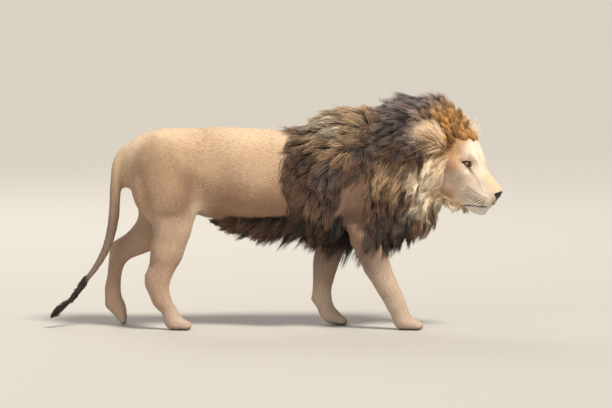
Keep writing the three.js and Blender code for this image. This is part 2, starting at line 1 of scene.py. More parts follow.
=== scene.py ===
import math
import bpy
import numpy as np
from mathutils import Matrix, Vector
from mathutils.bvhtree import BVHTree
from mathutils.kdtree import KDTree
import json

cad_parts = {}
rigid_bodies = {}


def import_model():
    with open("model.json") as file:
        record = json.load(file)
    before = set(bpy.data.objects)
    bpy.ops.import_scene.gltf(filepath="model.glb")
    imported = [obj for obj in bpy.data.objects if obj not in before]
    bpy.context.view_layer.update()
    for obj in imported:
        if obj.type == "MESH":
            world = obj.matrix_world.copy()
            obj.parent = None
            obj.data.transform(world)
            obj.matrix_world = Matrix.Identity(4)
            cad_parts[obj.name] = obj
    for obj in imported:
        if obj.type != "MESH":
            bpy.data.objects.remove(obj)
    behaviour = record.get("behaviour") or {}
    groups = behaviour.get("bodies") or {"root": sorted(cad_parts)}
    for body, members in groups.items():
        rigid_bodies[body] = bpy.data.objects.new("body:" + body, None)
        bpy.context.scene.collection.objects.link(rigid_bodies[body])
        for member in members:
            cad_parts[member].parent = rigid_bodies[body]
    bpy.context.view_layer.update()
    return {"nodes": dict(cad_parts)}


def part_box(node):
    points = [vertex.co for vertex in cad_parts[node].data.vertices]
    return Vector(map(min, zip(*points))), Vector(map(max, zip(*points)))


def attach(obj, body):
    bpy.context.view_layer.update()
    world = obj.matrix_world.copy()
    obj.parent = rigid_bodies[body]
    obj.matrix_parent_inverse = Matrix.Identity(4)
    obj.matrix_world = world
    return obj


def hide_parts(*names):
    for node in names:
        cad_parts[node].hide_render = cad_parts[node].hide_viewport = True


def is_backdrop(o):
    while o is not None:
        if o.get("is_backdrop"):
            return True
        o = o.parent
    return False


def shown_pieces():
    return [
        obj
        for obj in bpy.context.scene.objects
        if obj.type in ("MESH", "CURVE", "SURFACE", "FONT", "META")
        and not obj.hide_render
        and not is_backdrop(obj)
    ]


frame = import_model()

print("frame loaded,", len(frame["nodes"]), "nodes")

maneNodes = ["mane_head", "mane_neck", "mane_breast", "belly_fringe", "beard"]
pawNodes = ["right_forepaw", "left_forepaw", "right_hindpaw", "left_hindpaw"]
legNodes = ["right_foreleg", "left_foreleg", "right_gaskin", "right_hock", "left_gaskin", "left_hock"]
tailNodes = ["tail_root", "tail_middle", "tail_end"]
fleshNodes = ["rump", "barrel", "chest", "head"] + legNodes + pawNodes + tailNodes

chance = np.random.default_rng(11)
shift = np.array([71.9, 0, -0.4])  # from the modelling frame of the guides, in mm, to the row's frame


# ---- camera, light and floor

cameraPlan = {"target": (0.1535, 0, 0.632), "elevation": 4, "distance": 18, "lens": 207.6}
lightPlan = {
    "key": {"kind": "SUN", "at": (3.4, -3.6, 7.4), "spread": 0.26, "power": 4.2, "tint": "#fffaf3"},
    "fill": {"kind": "AREA", "at": (-8.5, -12.0, 5.6), "spread": 8.0, "power": 430, "tint": "#f2f4ff"},
    "rim": {"kind": "AREA", "at": (-3.0, 8.0, 7.5), "spread": 5.0, "power": 300, "tint": "#ffffff"},
}
floorPlan = {"size": 760, "colour": "#b3aea5", "sky": "#ecebe8", "skyStrength": 0.55}


def linear(hexColour):
    parts = [int(hexColour[i:i + 2], 16) / 255 for i in (1, 3, 5)]
    return tuple(c / 12.92 if c <= 0.04045 else ((c + 0.055) / 1.055) ** 2.4 for c in parts)


def add(tree, kind, settings=None, links=None):
    node = tree.nodes.new(kind)
    for name, value in (settings or {}).items():
        if name in node.inputs:
            node.inputs[name].default_value = value
        else:
            setattr(node, name, value)
    for name, source in (links or {}).items():
        tree.links.new(source, node.inputs[name])
    return node


def ramp(tree, source, stops):
    node = add(tree, "ShaderNodeValToRGB", links={"Fac": source})
    bar = node.color_ramp.elements
    while len(bar) < len(stops):
        bar.new(0.5)
    for element, (place, colour) in zip(bar, stops):
        element.position = place
        element.color = (*linear(colour), 1)
    return node


def material(name, surface):
    made = bpy.data.materials.new(name)
    made.use_nodes = True
    tree = made.node_tree
    shader = tree.nodes["Principled BSDF"]
    for socket, value in surface.items():
        shader.inputs[socket].default_value = value
    return made, tree, shader


def lookAt(thing, place):
    thing.rotation_euler = (Vector(place) - thing.location).to_track_quat("-Z", "Y").to_euler()


def deselectAll():
    bpy.ops.object.select_all(action="DESELECT")


def onlySelect(thing):
    deselectAll()
    thing.select_set(True)
    bpy.context.view_layer.objects.active = thing


tilt = math.radians(cameraPlan["elevation"])
target = Vector(cameraPlan["target"])
bpy.ops.object.camera_add(location=target + cameraPlan["distance"] * Vector((0, -math.cos(tilt), math.sin(tilt))))
camera = bpy.context.object
camera.data.lens = cameraPlan["lens"]
camera.data.sensor_width = 36
camera.data.clip_end = 900
lookAt(camera, target)
bpy.context.scene.camera = camera
bpy.context.scene.view_settings.view_transform = "Standard"

for name, lamp in lightPlan.items():
    bpy.ops.object.light_add(type=lamp["kind"], location=lamp["at"])
    light = bpy.context.object
    light.name = name
    if lamp["kind"] == "SUN":
        light.data.angle = lamp["spread"]
    else:
        light.data.size = lamp["spread"]
    light.data.energy = lamp["power"]
    light.data.color = linear(lamp["tint"])
    lookAt(light, (0.1, 0, 0.6))

world = bpy.data.worlds.new("studio")
bpy.context.scene.world = world
world.use_nodes = True
backdrop = world.node_tree.nodes["Background"]
backdrop.inputs["Color"].default_value = (*linear(floorPlan["sky"]), 1)
backdrop.inputs["Strength"].default_value = floorPlan["skyStrength"]

deselectAll()
bpy.ops.mesh.primitive_plane_add(size=floorPlan["size"], location=(0, 0, -0.0005))
floor = bpy.context.object
floor.name = "studio_floor"
paper, paperTree, paperShader = material("matt studio paper", {"Roughness": 0.9})
paperShader.inputs["Base Color"].default_value = (*linear(floorPlan["colour"]), 1)
floor.data.materials.append(paper)
floor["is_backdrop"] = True
print("camera, light and floor ready")


# ---- helpers for meshes as arrays of points

def pointsOf(thing):
    points = np.empty(len(thing.data.vertices) * 3, np.float32)
    thing.data.vertices.foreach_get("co", points)
    return points.reshape(-1, 3).astype(float)


def setPoints(thing, points):
    thing.data.vertices.foreach_set("co", points.astype(np.float32).ravel())
    thing.data.update()


def normalsOf(thing):
    normals = np.empty(len(thing.data.vertices) * 3, np.float32)
    thing.data.vertices.foreach_get("normal", normals)
    return normals.reshape(-1, 3).astype(float)


def edgesOf(thing):
    edges = np.empty(len(thing.data.edges) * 2, np.int32)
    thing.data.edges.foreach_get("vertices", edges)
    return edges.reshape(-1, 2)


def treeOf(names):
    vertices, faces = [], []
    for name in names:
        mesh = frame["nodes"][name].data
        start = len(vertices)
        vertices += [v.co for v in mesh.vertices]
        faces += [[start + i for i in face.vertices] for face in mesh.polygons]
    return BVHTree.FromPolygons(vertices, faces)


def distancesTo(names, points):
    tree = treeOf(names)
    return np.array([tree.find_nearest(p)[3] for p in points])


def relax(edges, values, rounds, share=0.5):
    count = len(values)
    flat = values.reshape(count, -1)
    near = np.maximum(np.bincount(edges.ravel(), minlength=count), 1)
    for _ in range(rounds):
        total = np.stack([
            np.bincount(edges[:, 0], column[edges[:, 1]], count)
            + np.bincount(edges[:, 1], column[edges[:, 0]], count)
            for column in flat.T
        ], axis=1)
        flat = flat + share * (total / near[:, None] - flat)
    return flat.reshape(values.shape)


def remesh(thing, size):
    onlySelect(thing)
    thing.data.remesh_voxel_size = size
    bpy.ops.object.voxel_remesh()


def step(low, high, values):
    t = np.clip((values - low) / (high - low), 0, 1)
    return t * t * (3 - 2 * t)


def unit(vectors):
    return vectors / np.maximum(np.linalg.norm(vectors, axis=-1, keepdims=True), 1e-9)


# ---- the head's own frame, in mm: x to the nose, y to the left, z to the crown

headPlan = {"dip": 18, "eyes": (-6, 50, -2), "eyeRadius": 20}


def middleOf(name):
    low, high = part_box(name)
    return np.array((low + high) / 2) * 1000


rightEye, leftEye = middleOf("eye_right"), middleOf("eye_left")
dip = math.radians(headPlan["dip"])
headY = unit(leftEye - rightEye)
ahead = np.array([headY[1], -headY[0], 0.0])
headX = ahead * math.cos(dip) + np.array([0, 0, -math.sin(dip)])
headZ = ahead * math.sin(dip) + np.array([0, 0, math.cos(dip)])
headAxes = np.stack([headX, headY, headZ])
eyeX, eyeY, eyeZ = headPlan["eyes"]
headAt = (rightEye + leftEye) / 2 - np.array([eyeX, 0, eyeZ]) @ headAxes


def toHead(points):
    return (points * 1000 - headAt) @ headAxes.T


def fromHead(places):
    return (np.asarray(places, float) @ headAxes + headAt) / 1000


# ---- skin: every node of flesh joined, closed and drawn in by the depth of the coat

skinPlan = {
    "joinVoxel": 0.009, "voxel": 0.0135, "belly": 0.497, "trunkRounds": 16,
    "shortCoat": 0.005, "faceCoat": 0.0025, "maneCoat": 0.040, "lappetCoat": 0.022, "tuftCoat": 0.014,
    "fillers": [((0.487, -0.118, 0.525), 0.066), ((0.487, 0.118, 0.535), 0.060), ((0.487, 0, 0.56), 0.075)],
}


def copyNodes(names, title):
    deselectAll()
    for name in names:
        frame["nodes"][name].select_set(True)
    bpy.context.view_layer.objects.active = frame["nodes"][names[0]]
    bpy.ops.object.duplicate()
    bpy.ops.object.parent_clear(type="CLEAR_KEEP_TRANSFORM")
    if len(names) > 1:
        bpy.ops.object.join()
    copy = bpy.context.object
    copy.name = title
    for key in list(copy.keys()):
        del copy[key]
    copy.data.materials.clear()
    return copy


def joinOnto(thing, others):
    deselectAll()
    for other in others + [thing]:
        other.select_set(True)
    bpy.context.view_layer.objects.active = thing
    bpy.ops.object.join()


def ball(place, radius):
    deselectAll()
    bpy.ops.mesh.primitive_uv_sphere_add(segments=32, ring_count=20, radius=radius, location=place)
    bpy.ops.object.transform_apply(location=True, rotation=True, scale=True)
    return bpy.context.object


skin = copyNodes(fleshNodes + ["mane_head", "mane_neck", "tail_tuft", "nose"], "skin")
underside = copyNodes(["mane_breast", "belly_fringe"], "underside")
points = pointsOf(underside)
points[:, 2] = np.maximum(points[:, 2], skinPlan["belly"])
setPoints(underside, points)
fillers = [ball(place, radius) for place, radius in skinPlan["fillers"]]
fillers += [ball(fromHead((eyeX, side * eyeY, eyeZ)), 0.0245) for side in (-1, 1)]
for ear in ("ear_right", "ear_left"):
    low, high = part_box(ear)
    middle = (low + high) / 2
    middle.y += 0.02 if ear == "ear_right" else -0.02
    fillers.append(ball(middle, 0.074))
joinOnto(skin, [underside] + fillers)
remesh(skin, skinPlan["joinVoxel"])


def lappet(points):
    mm = points * 1000 - shift
    x, z = mm[:, 0], mm[:, 2]
    fall = 1 - step(0.82, 1.05, np.hypot((x - 118) / 150, (z - 800) / 245))
    withers = step(60, 150, x) * step(855, 915, z - 0.25 * (x - 150))
    return np.clip(np.maximum(fall * step(540, 600, z), withers), 0, 1)


def settleSkin():
    points = pointsOf(skin)
    edges = edgesOf(skin)
    calm = step(0.0, 0.03, distancesTo(["head"] + pawNodes + tailNodes[1:], points))
    soft = relax(edges, points, skinPlan["trunkRounds"])
    firm = relax(edges, points, 3)
    points = firm + calm[:, None] * (soft - firm)
    toMane = distancesTo(maneNodes, points)
    toFlesh = distancesTo(fleshNodes + ["nose"], points)
    underMane = relax(edges, (toMane < toFlesh).astype(float), 6)
    low = points[:, 2] < 0.54
    depth = np.where(distancesTo(["head", "nose"], points) < 0.012, skinPlan["faceCoat"], skinPlan["shortCoat"])
    depth = depth + np.where(low, 0.2, 1) * underMane * skinPlan["maneCoat"]
    depth = np.maximum(depth, lappet(points) * skinPlan["lappetCoat"])
    depth = np.maximum(depth, step(0.02, 0.0, distancesTo(["tail_tuft"], points)) * skinPlan["tuftCoat"])
    depth = relax(edges, depth, 6)
    setPoints(skin, points - normalsOf(skin) * depth[:, None])
    remesh(skin, skinPlan["voxel"])
    setPoints(skin, relax(edgesOf(skin), pointsOf(skin), 3))


settleSkin()
print("skin joined,", len(skin.data.polygons), "faces")


def refine(test):
    onlySelect(skin)
    bpy.ops.object.mode_set(mode="EDIT")
    bpy.ops.mesh.select_mode(type="FACE")
    bpy.ops.mesh.select_all(action="DESELECT")
    bpy.ops.object.mode_set(mode="OBJECT")
    centres = np.empty(len(skin.data.polygons) * 3, np.float32)
    skin.data.polygons.foreach_get("center", centres)
    skin.data.polygons.foreach_set("select", test(centres.reshape(-1, 3).astype(float)))
    bpy.ops.object.mode_set(mode="EDIT")
    bpy.ops.mesh.subdivide(number_cuts=1, smoothness=0)
    bpy.ops.object.mode_set(mode="OBJECT")


def onFace(p, back=-70):
    return (p[:, 0] > back) & (p[:, 0] < 260) & (np.abs(p[:, 1]) < 135) & (p[:, 2] > -275) & (p[:, 2] < 175)


# The line of the mouth: half width and height over the front, length and height along the side.
lipFront = [(0, -143), (18, -158), (40, -176), (66, -182)]
lipSide = [(-20, -232), (10, -224), (36, -216), (73, -203), (103, -193), (134, -186), (168, -178), (190, -160)]


def lipHeight(p):
    front = np.interp(np.abs(p[:, 1]), *zip(*lipFront))
    side = np.interp(p[:, 0], *zip(*lipSide))
    return side + step(148, 176, p[:, 0]) * (front - side)


def nearFeature(points):
    p = toHead(points)
    eyes = np.minimum(*[np.linalg.norm(p - (eyeX, side * eyeY, eyeZ), axis=1) for side in (-1, 1)]) < 44
    muzzle = (p[:, 0] > 165) & (p[:, 2] < -60) & (p[:, 2] > -190) & onFace(p)
    lips = (p[:, 0] > -12) & (p[:, 0] < 180) & (np.abs(p[:, 2] - lipHeight(p)) < 16) & (np.abs(p[:, 1]) > 26)
    return eyes | muzzle | (lips & (points[:, 2] > 0.5))


refine(lambda points: onFace(toHead(points), -75) & (points[:, 2] > 0.5))
refine(lambda points: onFace(toHead(points), -60) & (points[:, 2] > 0.5))
onlyFace = onFace(toHead(pointsOf(skin)), -70) & (pointsOf(skin)[:, 2] > 0.5)
eased = relax(edgesOf(skin), pointsOf(skin), 6)
points = pointsOf(skin)
points[onlyFace] = eased[onlyFace]
setPoints(skin, points)
refine(nearFeature)
refine(lambda points: points[:, 2] < 0.085)
print("face refined,", len(skin.data.polygons), "faces")


# ---- face: folds, lids, nostrils and lips moved out of the refined skin

faceForms = [  # middle, spread and height of each form in head mm, the same on both sides
    ((138, 48, -142), (34, 26, 27), 14.0),    # whisker pad
    ((16, 46, 33), (26, 24, 11), 8.5),        # brow over the eye
    ((-20, 88, -50), (42, 26, 30), 5.0),      # cheekbone
    ((26, 52, -40), (24, 16, 13), -3.5),      # hollow under the eye
    ((84, 46, -86), (36, 16, 24), -6.5),      # side of the muzzle
    ((52, 74, -150), (34, 22, 30), 3.0),      # cheek muscle
    ((30, 68, -205), (22, 22, 14), -4.0),     # hollow behind the mouth's corner
    ((150, 0, -222), (30, 34, 20), 9.0),      # chin
    ((40, 0, 96), (52, 60, 36), -13.0),       # flat of the forehead
    ((-8, 58, 96), (34, 30, 34), 5.0),        # side of the forehead
    ((48, 0, 78), (58, 7, 44), -2.5),         # furrow of the forehead
    ((-42, 82, 34), (26, 20, 26), -4.0),      # temple
    ((196, 24, -88), (14, 12, 12), 3.5),      # wing of the nostril
    ((150, 0, -62), (46, 15, 22), 1.5),       # ridge of the nose
]
lidPlan = {"wide": 1.08, "above": 0.43, "below": 0.40, "open": 18.2, "lid": 24.0, "facing": (0.82, 0.57, 0.06), "out": 7.5}
tearLine = [(22, 37, -13), (42, 33, -26), (65, 34, -40), (98, 37, -66), (123, 43, -95), (150, 42, -107), (182, 36, -108)]
noseEdge = [(82, 4), (84, 20), (88, 30), (94, 36), (102, 39), (110, 34), (118, 23), (127, 11), (137, 5), (143, 4)]  # drop, half width


def mirrored(p):
    return np.column_stack([p[:, 0], np.abs(p[:, 1]), p[:, 2]])


def bulge(p, middle, spread, height):
    return height * np.exp(-(((p - middle) / spread) ** 2).sum(1))


def lidRing(p):
    """q"""
    facing = unit(np.array(lidPlan["facing"]))
    e = mirrored(p) - np.array(headPlan["eyes"]) - facing * lidPlan["out"]
    inward = unit(np.cross((0, 0, 1), facing)) * -1
    upward = np.cross(facing, inward) * -1
    forward = e @ facing
    across = np.arctan2(e @ inward, forward)
    high = np.arctan2(e @ upward, forward)
    high = high + 0.20 * across
    tall = np.where(high > 0, lidPlan["above"], lidPlan["below"])
    return np.hypot(across / lidPlan["wide"], high / tall), np.linalg.norm(e, axis=1), across, high


def noseWidth(p):
    return np.interp(-p[:, 2], *zip(*noseEdge), left=-9, right=-9)


def farFromLine(p, line):
    line = np.array(line, float)
    best = np.full(len(p), 1e9)
    for a, b in zip(line[:-1], line[1:]):
        along = np.clip(((p - a) @ (b - a)) / ((b - a) @ (b - a)), 0, 1)
        best = np.minimum(best, np.linalg.norm(p - a - along[:, None] * (b - a), axis=1))
    return best


def sculptFace():
    points = pointsOf(skin)
    p = toHead(points)
    near = onFace(p, -90)
    m = mirrored(p)
    normals = normalsOf(skin) @ headAxes.T
    height = sum(bulge(m, *form) for form in faceForms)
    height = height * near
    p = p + normals * height[:, None]
    q, r, across, high = lidRing(p)
    m = mirrored(p)
    lid = lidPlan["lid"] + 1.6 * np.exp(-((q - 1.15) / 0.16) ** 2)
    reach = np.where(q < 0.92, lidPlan["open"], np.where(q < 1.04, lidPlan["open"] + (lid - lidPlan["open"]) * step(0.92, 1.04, q), lid))
    hold = (1 - step(1.25, 3.0, q)) * step(66, 52, r) * near
    radial = (m - np.array(headPlan["eyes"]) - unit(np.array(lidPlan["facing"])) * lidPlan["out"]) / np.maximum(r, 1)[:, None]
    moved = m + radial * ((reach - r) * hold)[:, None]
    p = np.column_stack([moved[:, 0], moved[:, 1] * np.where(p[:, 1] < 0, -1, 1), moved[:, 2]])
    over = p[:, 2] - lipHeight(p)
    inLip = step(-20, 6, p[:, 0]) * near
    groove = -6.5 * np.exp(-(over / 3.2) ** 2) + 2.8 * np.exp(-((over - 9) / 6) ** 2) + 1.2 * np.exp(-((over + 9) / 5) ** 2)
    parting = -4.0 * np.exp(-(p[:, 1] / 2.6) ** 2) * (p[:, 0] > 150) * step(-156, -146, p[:, 2]) * step(-100, -112, p[:, 2])
    tear = -1.6 * np.exp(-(farFromLine(mirrored(p), tearLine[:4]) / 4) ** 2)
    m = mirrored(p)
    nostril = bulge(m, (208, 17, -97), (14, 6.5, 5), -11) + bulge(m, (198, 29, -103), (14, 6, 3.6), -7)
    p = p + normals * ((groove * inLip + parting + tear + nostril) * near)[:, None]
    setPoints(skin, fromHead(p))


bodyForms = [  # two ends in mm, spread, height; mirrored where the side is 0
    (0, (-500, 195, 890), (-478, 180, 650), 42, -9), (0, (-650, 215, 880), (-610, 205, 670), 78, 7),
    (0, (-820, 0, 985), (0, 0, 1010), 20, 3.5), (0, (-700, 90, 1010), (-660, 120, 985), 30, 5),
    (0, (345, 200, 800), (315, 195, 640), 58, 9), (0, (330, 165, 530), (335, 160, 505), 34, 5),
    (0, (-770, 200, 800), (-730, 190, 660), 34, -5), (0, (250, 190, 700), (262, 185, 560), 26, -6),
    (-1, (-722, -165, 430), (-705, -150, 340), 15, -6), (-1, (-748, -125, 300), (-742, -122, 285), 22, 5),
    (-1, (445, -185, 440), (505, -160, 300), 28, 5), (-1, (470, -95, 420), (520, -95, 300), 20, -4),
    (-1, (548, -120, 190), (556, -115, 165), 26, 4), (1, (300, 180, 430), (240, 150, 290), 28, 5),
    (1, (-900, 150, 420), (-880, 140, 360), 15, -5), (1, (-952, 120, 440), (-946, 120, 420), 22, 5),
    (-1, (-640, -150, 500), (-668, -150, 380), 30, 5), (1, (-700, 150, 520), (-800, 140, 430), 26, 4),
]
bodyRelief = 1.5
ribPlan = {"count": 7, "first": 20, "gap": 58, "height": 1.6, "spread": 15}


def sculptBody():
    points = pointsOf(skin)
    mm = points * 1000 - shift
    normals = normalsOf(skin)
    lift = np.zeros(len(points))
    folded = mirrored(mm)
    for side, a, b, spread, height in bodyForms:
        where = folded if side == 0 else mm
        lift += bodyRelief * height * np.exp(-(farFromLine(where, [a, b]) / spread) ** 2)
    for rib in range(ribPlan["count"]):
        x = ribPlan["first"] - ribPlan["gap"] * rib
        gap = farFromLine(folded, [(x, 200, 900), (x - 45, 185, 660)])
        lift += ribPlan["height"] * np.exp(-(gap / ribPlan["spread"]) ** 2)
    for name in pawNodes:
        low, high = (np.array(corner) * 1000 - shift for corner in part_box(name))
        wide = high[1] - low[1]
        inside = (np.abs(mm[:, 1] - (low[1] + high[1]) / 2) < wide * 0.62) & (mm[:, 0] > low[0] - 20) & (mm[:, 0] < high[0] + 20)
        front = step(high[0] - 92, high[0] - 50, mm[:, 0]) * (mm[:, 2] < 80) * inside
        for share in (0.26, 0.5, 0.74):
            reach = mm[:, 1] - (low[1] + wide * share)
            lift += front * (-6.5 * np.exp(-(reach / 4.5) ** 2))
        for share in (0.12, 0.38, 0.62, 0.88):
            reach = mm[:, 1] - (low[1] + wide * share)
            lift += front * 2.5 * np.exp(-(reach / 9) ** 2)
    lift *= step(0, 14, mm[:, 2])
    points = points + normals * (lift / 1000)[:, None]
    points[:, 2] -= points[:, 2].min() * (1 - step(0, 0.05, points[:, 2]))
    setPoints(skin, points)


sculptBody()
sculptFace()
edges = edgesOf(skin)
points = pointsOf(skin)
p = toHead(points)
around = onFace(p, -90) & (lidRing(p)[0] > 1.3)
eased = relax(edges, points, 1)
points[around] = eased[around]
setPoints(skin, points)
onlySelect(skin)
bpy.ops.object.shade_smooth()
print("face sculpted")


# ---- colours of skin and coat: one set for both, the coat's own pattern with painted light and shade

# The body tints hold painted light from above: the back is lighter as a painted sunlit highlight, and the lower flank
# and belly are darker as painted shade.
tints = {
    "backGoldSunlit": "#ceb18f", "flank": "#ba9b7c", "flankLowShaded": "#94735a", "belly": "#8b684e", "groin": "#b89f86",
    "thigh": "#a18367", "shank": "#a88b73", "fore": "#896b57", "forearm": "#8a7060", "wrist": "#b39c86",
    # The shoulder tint is the bare shoulder under the mane, darkened as painted shade where the mane hangs over it.
    "paw": "#b09a85", "shoulder": "#6c5140", "tail": "#937c6d", "tailDark": "#5f4a3d", "forehead": "#e4d3bc",
    "cheek": "#c4ae9a", "muzzle": "#c9b8a4", "bridge": "#d6b793", "chin": "#dcd3c9", "temple": "#bd9566",
    # The jaw tint is a painted shadow under the cheek, behind the muzzle.
    "jawPaintedShade": "#a07553", "black": "#17110f", "white": "#efe6da", "stripe": "#a97c52", "whiskerSpot": "#3a261c",
    # The neck skin tint is the skin under the mane: partly the hair's colour, partly painted shade for the gaps between
    # locks.
    "neckSkinShaded": "#7d5d45", "earBack": "#5a4536", "earFront": "#e0c49c",
}
# Painted shade and painted highlight of the body's relief: darker in the flank hollow, the creases and below the ribs,
# lighter along the thigh, the upper flank and the legs.
bodyPaintedShading = [  # two ends in mm, spread, how much lighter or darker; the same on both sides
    ((-462, 200, 900), (-512, 190, 650), 34, -0.27), ((-660, 210, 960), (-590, 200, 720), 44, 0.13),
    ((-420, 190, 640), (60, 200, 610), 36, -0.14), ((-730, 200, 820), (-700, 190, 640), 40, -0.10),
    ((-300, 200, 900), (-40, 200, 900), 70, 0.06), ((-690, 160, 520), (-700, 150, 330), 22, -0.12),
    ((-615, 150, 560), (-650, 140, 330), 20, 0.08), ((345, 190, 560), (470, 150, 330), 26, -0.10),
    ((-560, 190, 620), (-500, 180, 590), 34, -0.12), ((400, 180, 440), (520, 140, 220), 24, 0.07),
]
# The rows run from the sunlit back down to the shaded lower flank and belly: painted light and shade over the coat's
# tawny colour.
bodyTints = [  # place in mm, colour; the same on both sides
    (-820, 60, 960, "backGoldSunlit"), (-600, 60, 1020, "backGoldSunlit"), (-200, 60, 1020, "backGoldSunlit"), (60, 60, 1000, "backGoldSunlit"),
    (-700, 190, 880, "thigh"), (-450, 200, 850, "flank"), (-150, 200, 820, "flank"), (60, 200, 800, "flank"),
    (-700, 190, 700, "thigh"), (-550, 180, 680, "flankLowShaded"), (-300, 170, 660, "flankLowShaded"), (-100, 170, 640, "flankLowShaded"),
    (-520, 190, 760, "flankLowShaded"), (60, 190, 700, "flankLowShaded"), (-620, 190, 760, "thigh"),
    (-350, 90, 560, "belly"), (-100, 90, 540, "belly"), (-480, 90, 600, "groin"), (-560, 90, 560, "groin"),
    (-680, 150, 480, "shank"), (-840, 130, 460, "shank"), (-680, 120, 250, "shank"), (-900, 110, 280, "shank"),
    (-700, 120, 120, "shank"), (-900, 110, 100, "shank"), (-600, 120, 30, "paw"), (-890, 120, 30, "paw"),
    (340, 190, 780, "shoulder"), (340, 190, 620, "shoulder"), (340, 160, 480, "fore"), (400, 130, 380, "forearm"),
    (500, 120, 260, "wrist"), (560, 120, 150, "wrist"), (620, 120, 40, "paw"), (300, 130, 400, "forearm"),
    (250, 130, 250, "forearm"), (170, 120, 120, "wrist"), (220, 120, 40, "paw"), (560, 100, 900, "neckSkinShaded"),
    (620, 100, 700, "neckSkinShaded"), (500, 100, 600, "neckSkinShaded"), (250, 190, 900, "flank"),
]
faceTints = [  # the same for the face, in head mm
    (20, 0, 110, "forehead"), (60, 0, 60, "forehead"), (10, 45, 70, "forehead"), (96, 0, 20, "bridge"),
    (140, 0, -30, "bridge"), (180, 0, -55, "bridge"), (70, 30, -20, "forehead"), (40, 60, -50, "cheek"),
    (0, 90, -70, "cheek"), (-40, 100, -100, "cheek"), (-60, 90, 30, "temple"), (-60, 60, 110, "temple"),
    (100, 40, -90, "muzzle"), (130, 60, -150, "muzzle"), (160, 40, -150, "muzzle"), (60, 70, -150, "cheek"),
    # The jaw tint on this row and the next is a painted shadow under the cheek.
    (30, 75, -200, "muzzle"), (-18, 96, -185, "jawPaintedShade"), (130, 20, -235, "chin"), (150, 20, -215, "chin"),
    (90, 40, -240, "chin"), (-20, 60, -250, "muzzle"), (-30, 50, 0, "cheek"), (-40, 97, -35, "jawPaintedShade"),
]


def tone(name):
    return np.array(linear(tints[name]))


def spreadRows(points, places, values, sharp=4.0, soften=18.0):
    found = np.empty((len(points), values.shape[1]))
    for start in range(0, len(points), 6000):
        gap = np.linalg.norm(points[start:start + 6000, None] - places[None], axis=2)
        share = 1 / (gap + soften) ** sharp
        found[start:start + 6000] = share @ values / share.sum(1, keepdims=True)
    return found


def wave(points, size, seed):
    """noise"""
    turn = np.random.default_rng(seed)
    total = np.zeros(len(points))
    for scale in (1.0, 0.53, 0.29):
        ways = turn.normal(size=(5, 3)) * 2 * math.pi / (size * scale * 2.2)
        starts = turn.uniform(0, 6.28, 5)
        total += np.sin(points @ ways.T + starts).sum(1) * scale / 4
    return total


def mix(colours, other, share):
    return colours + np.clip(share, 0, 1)[:, None] * (other - colours)


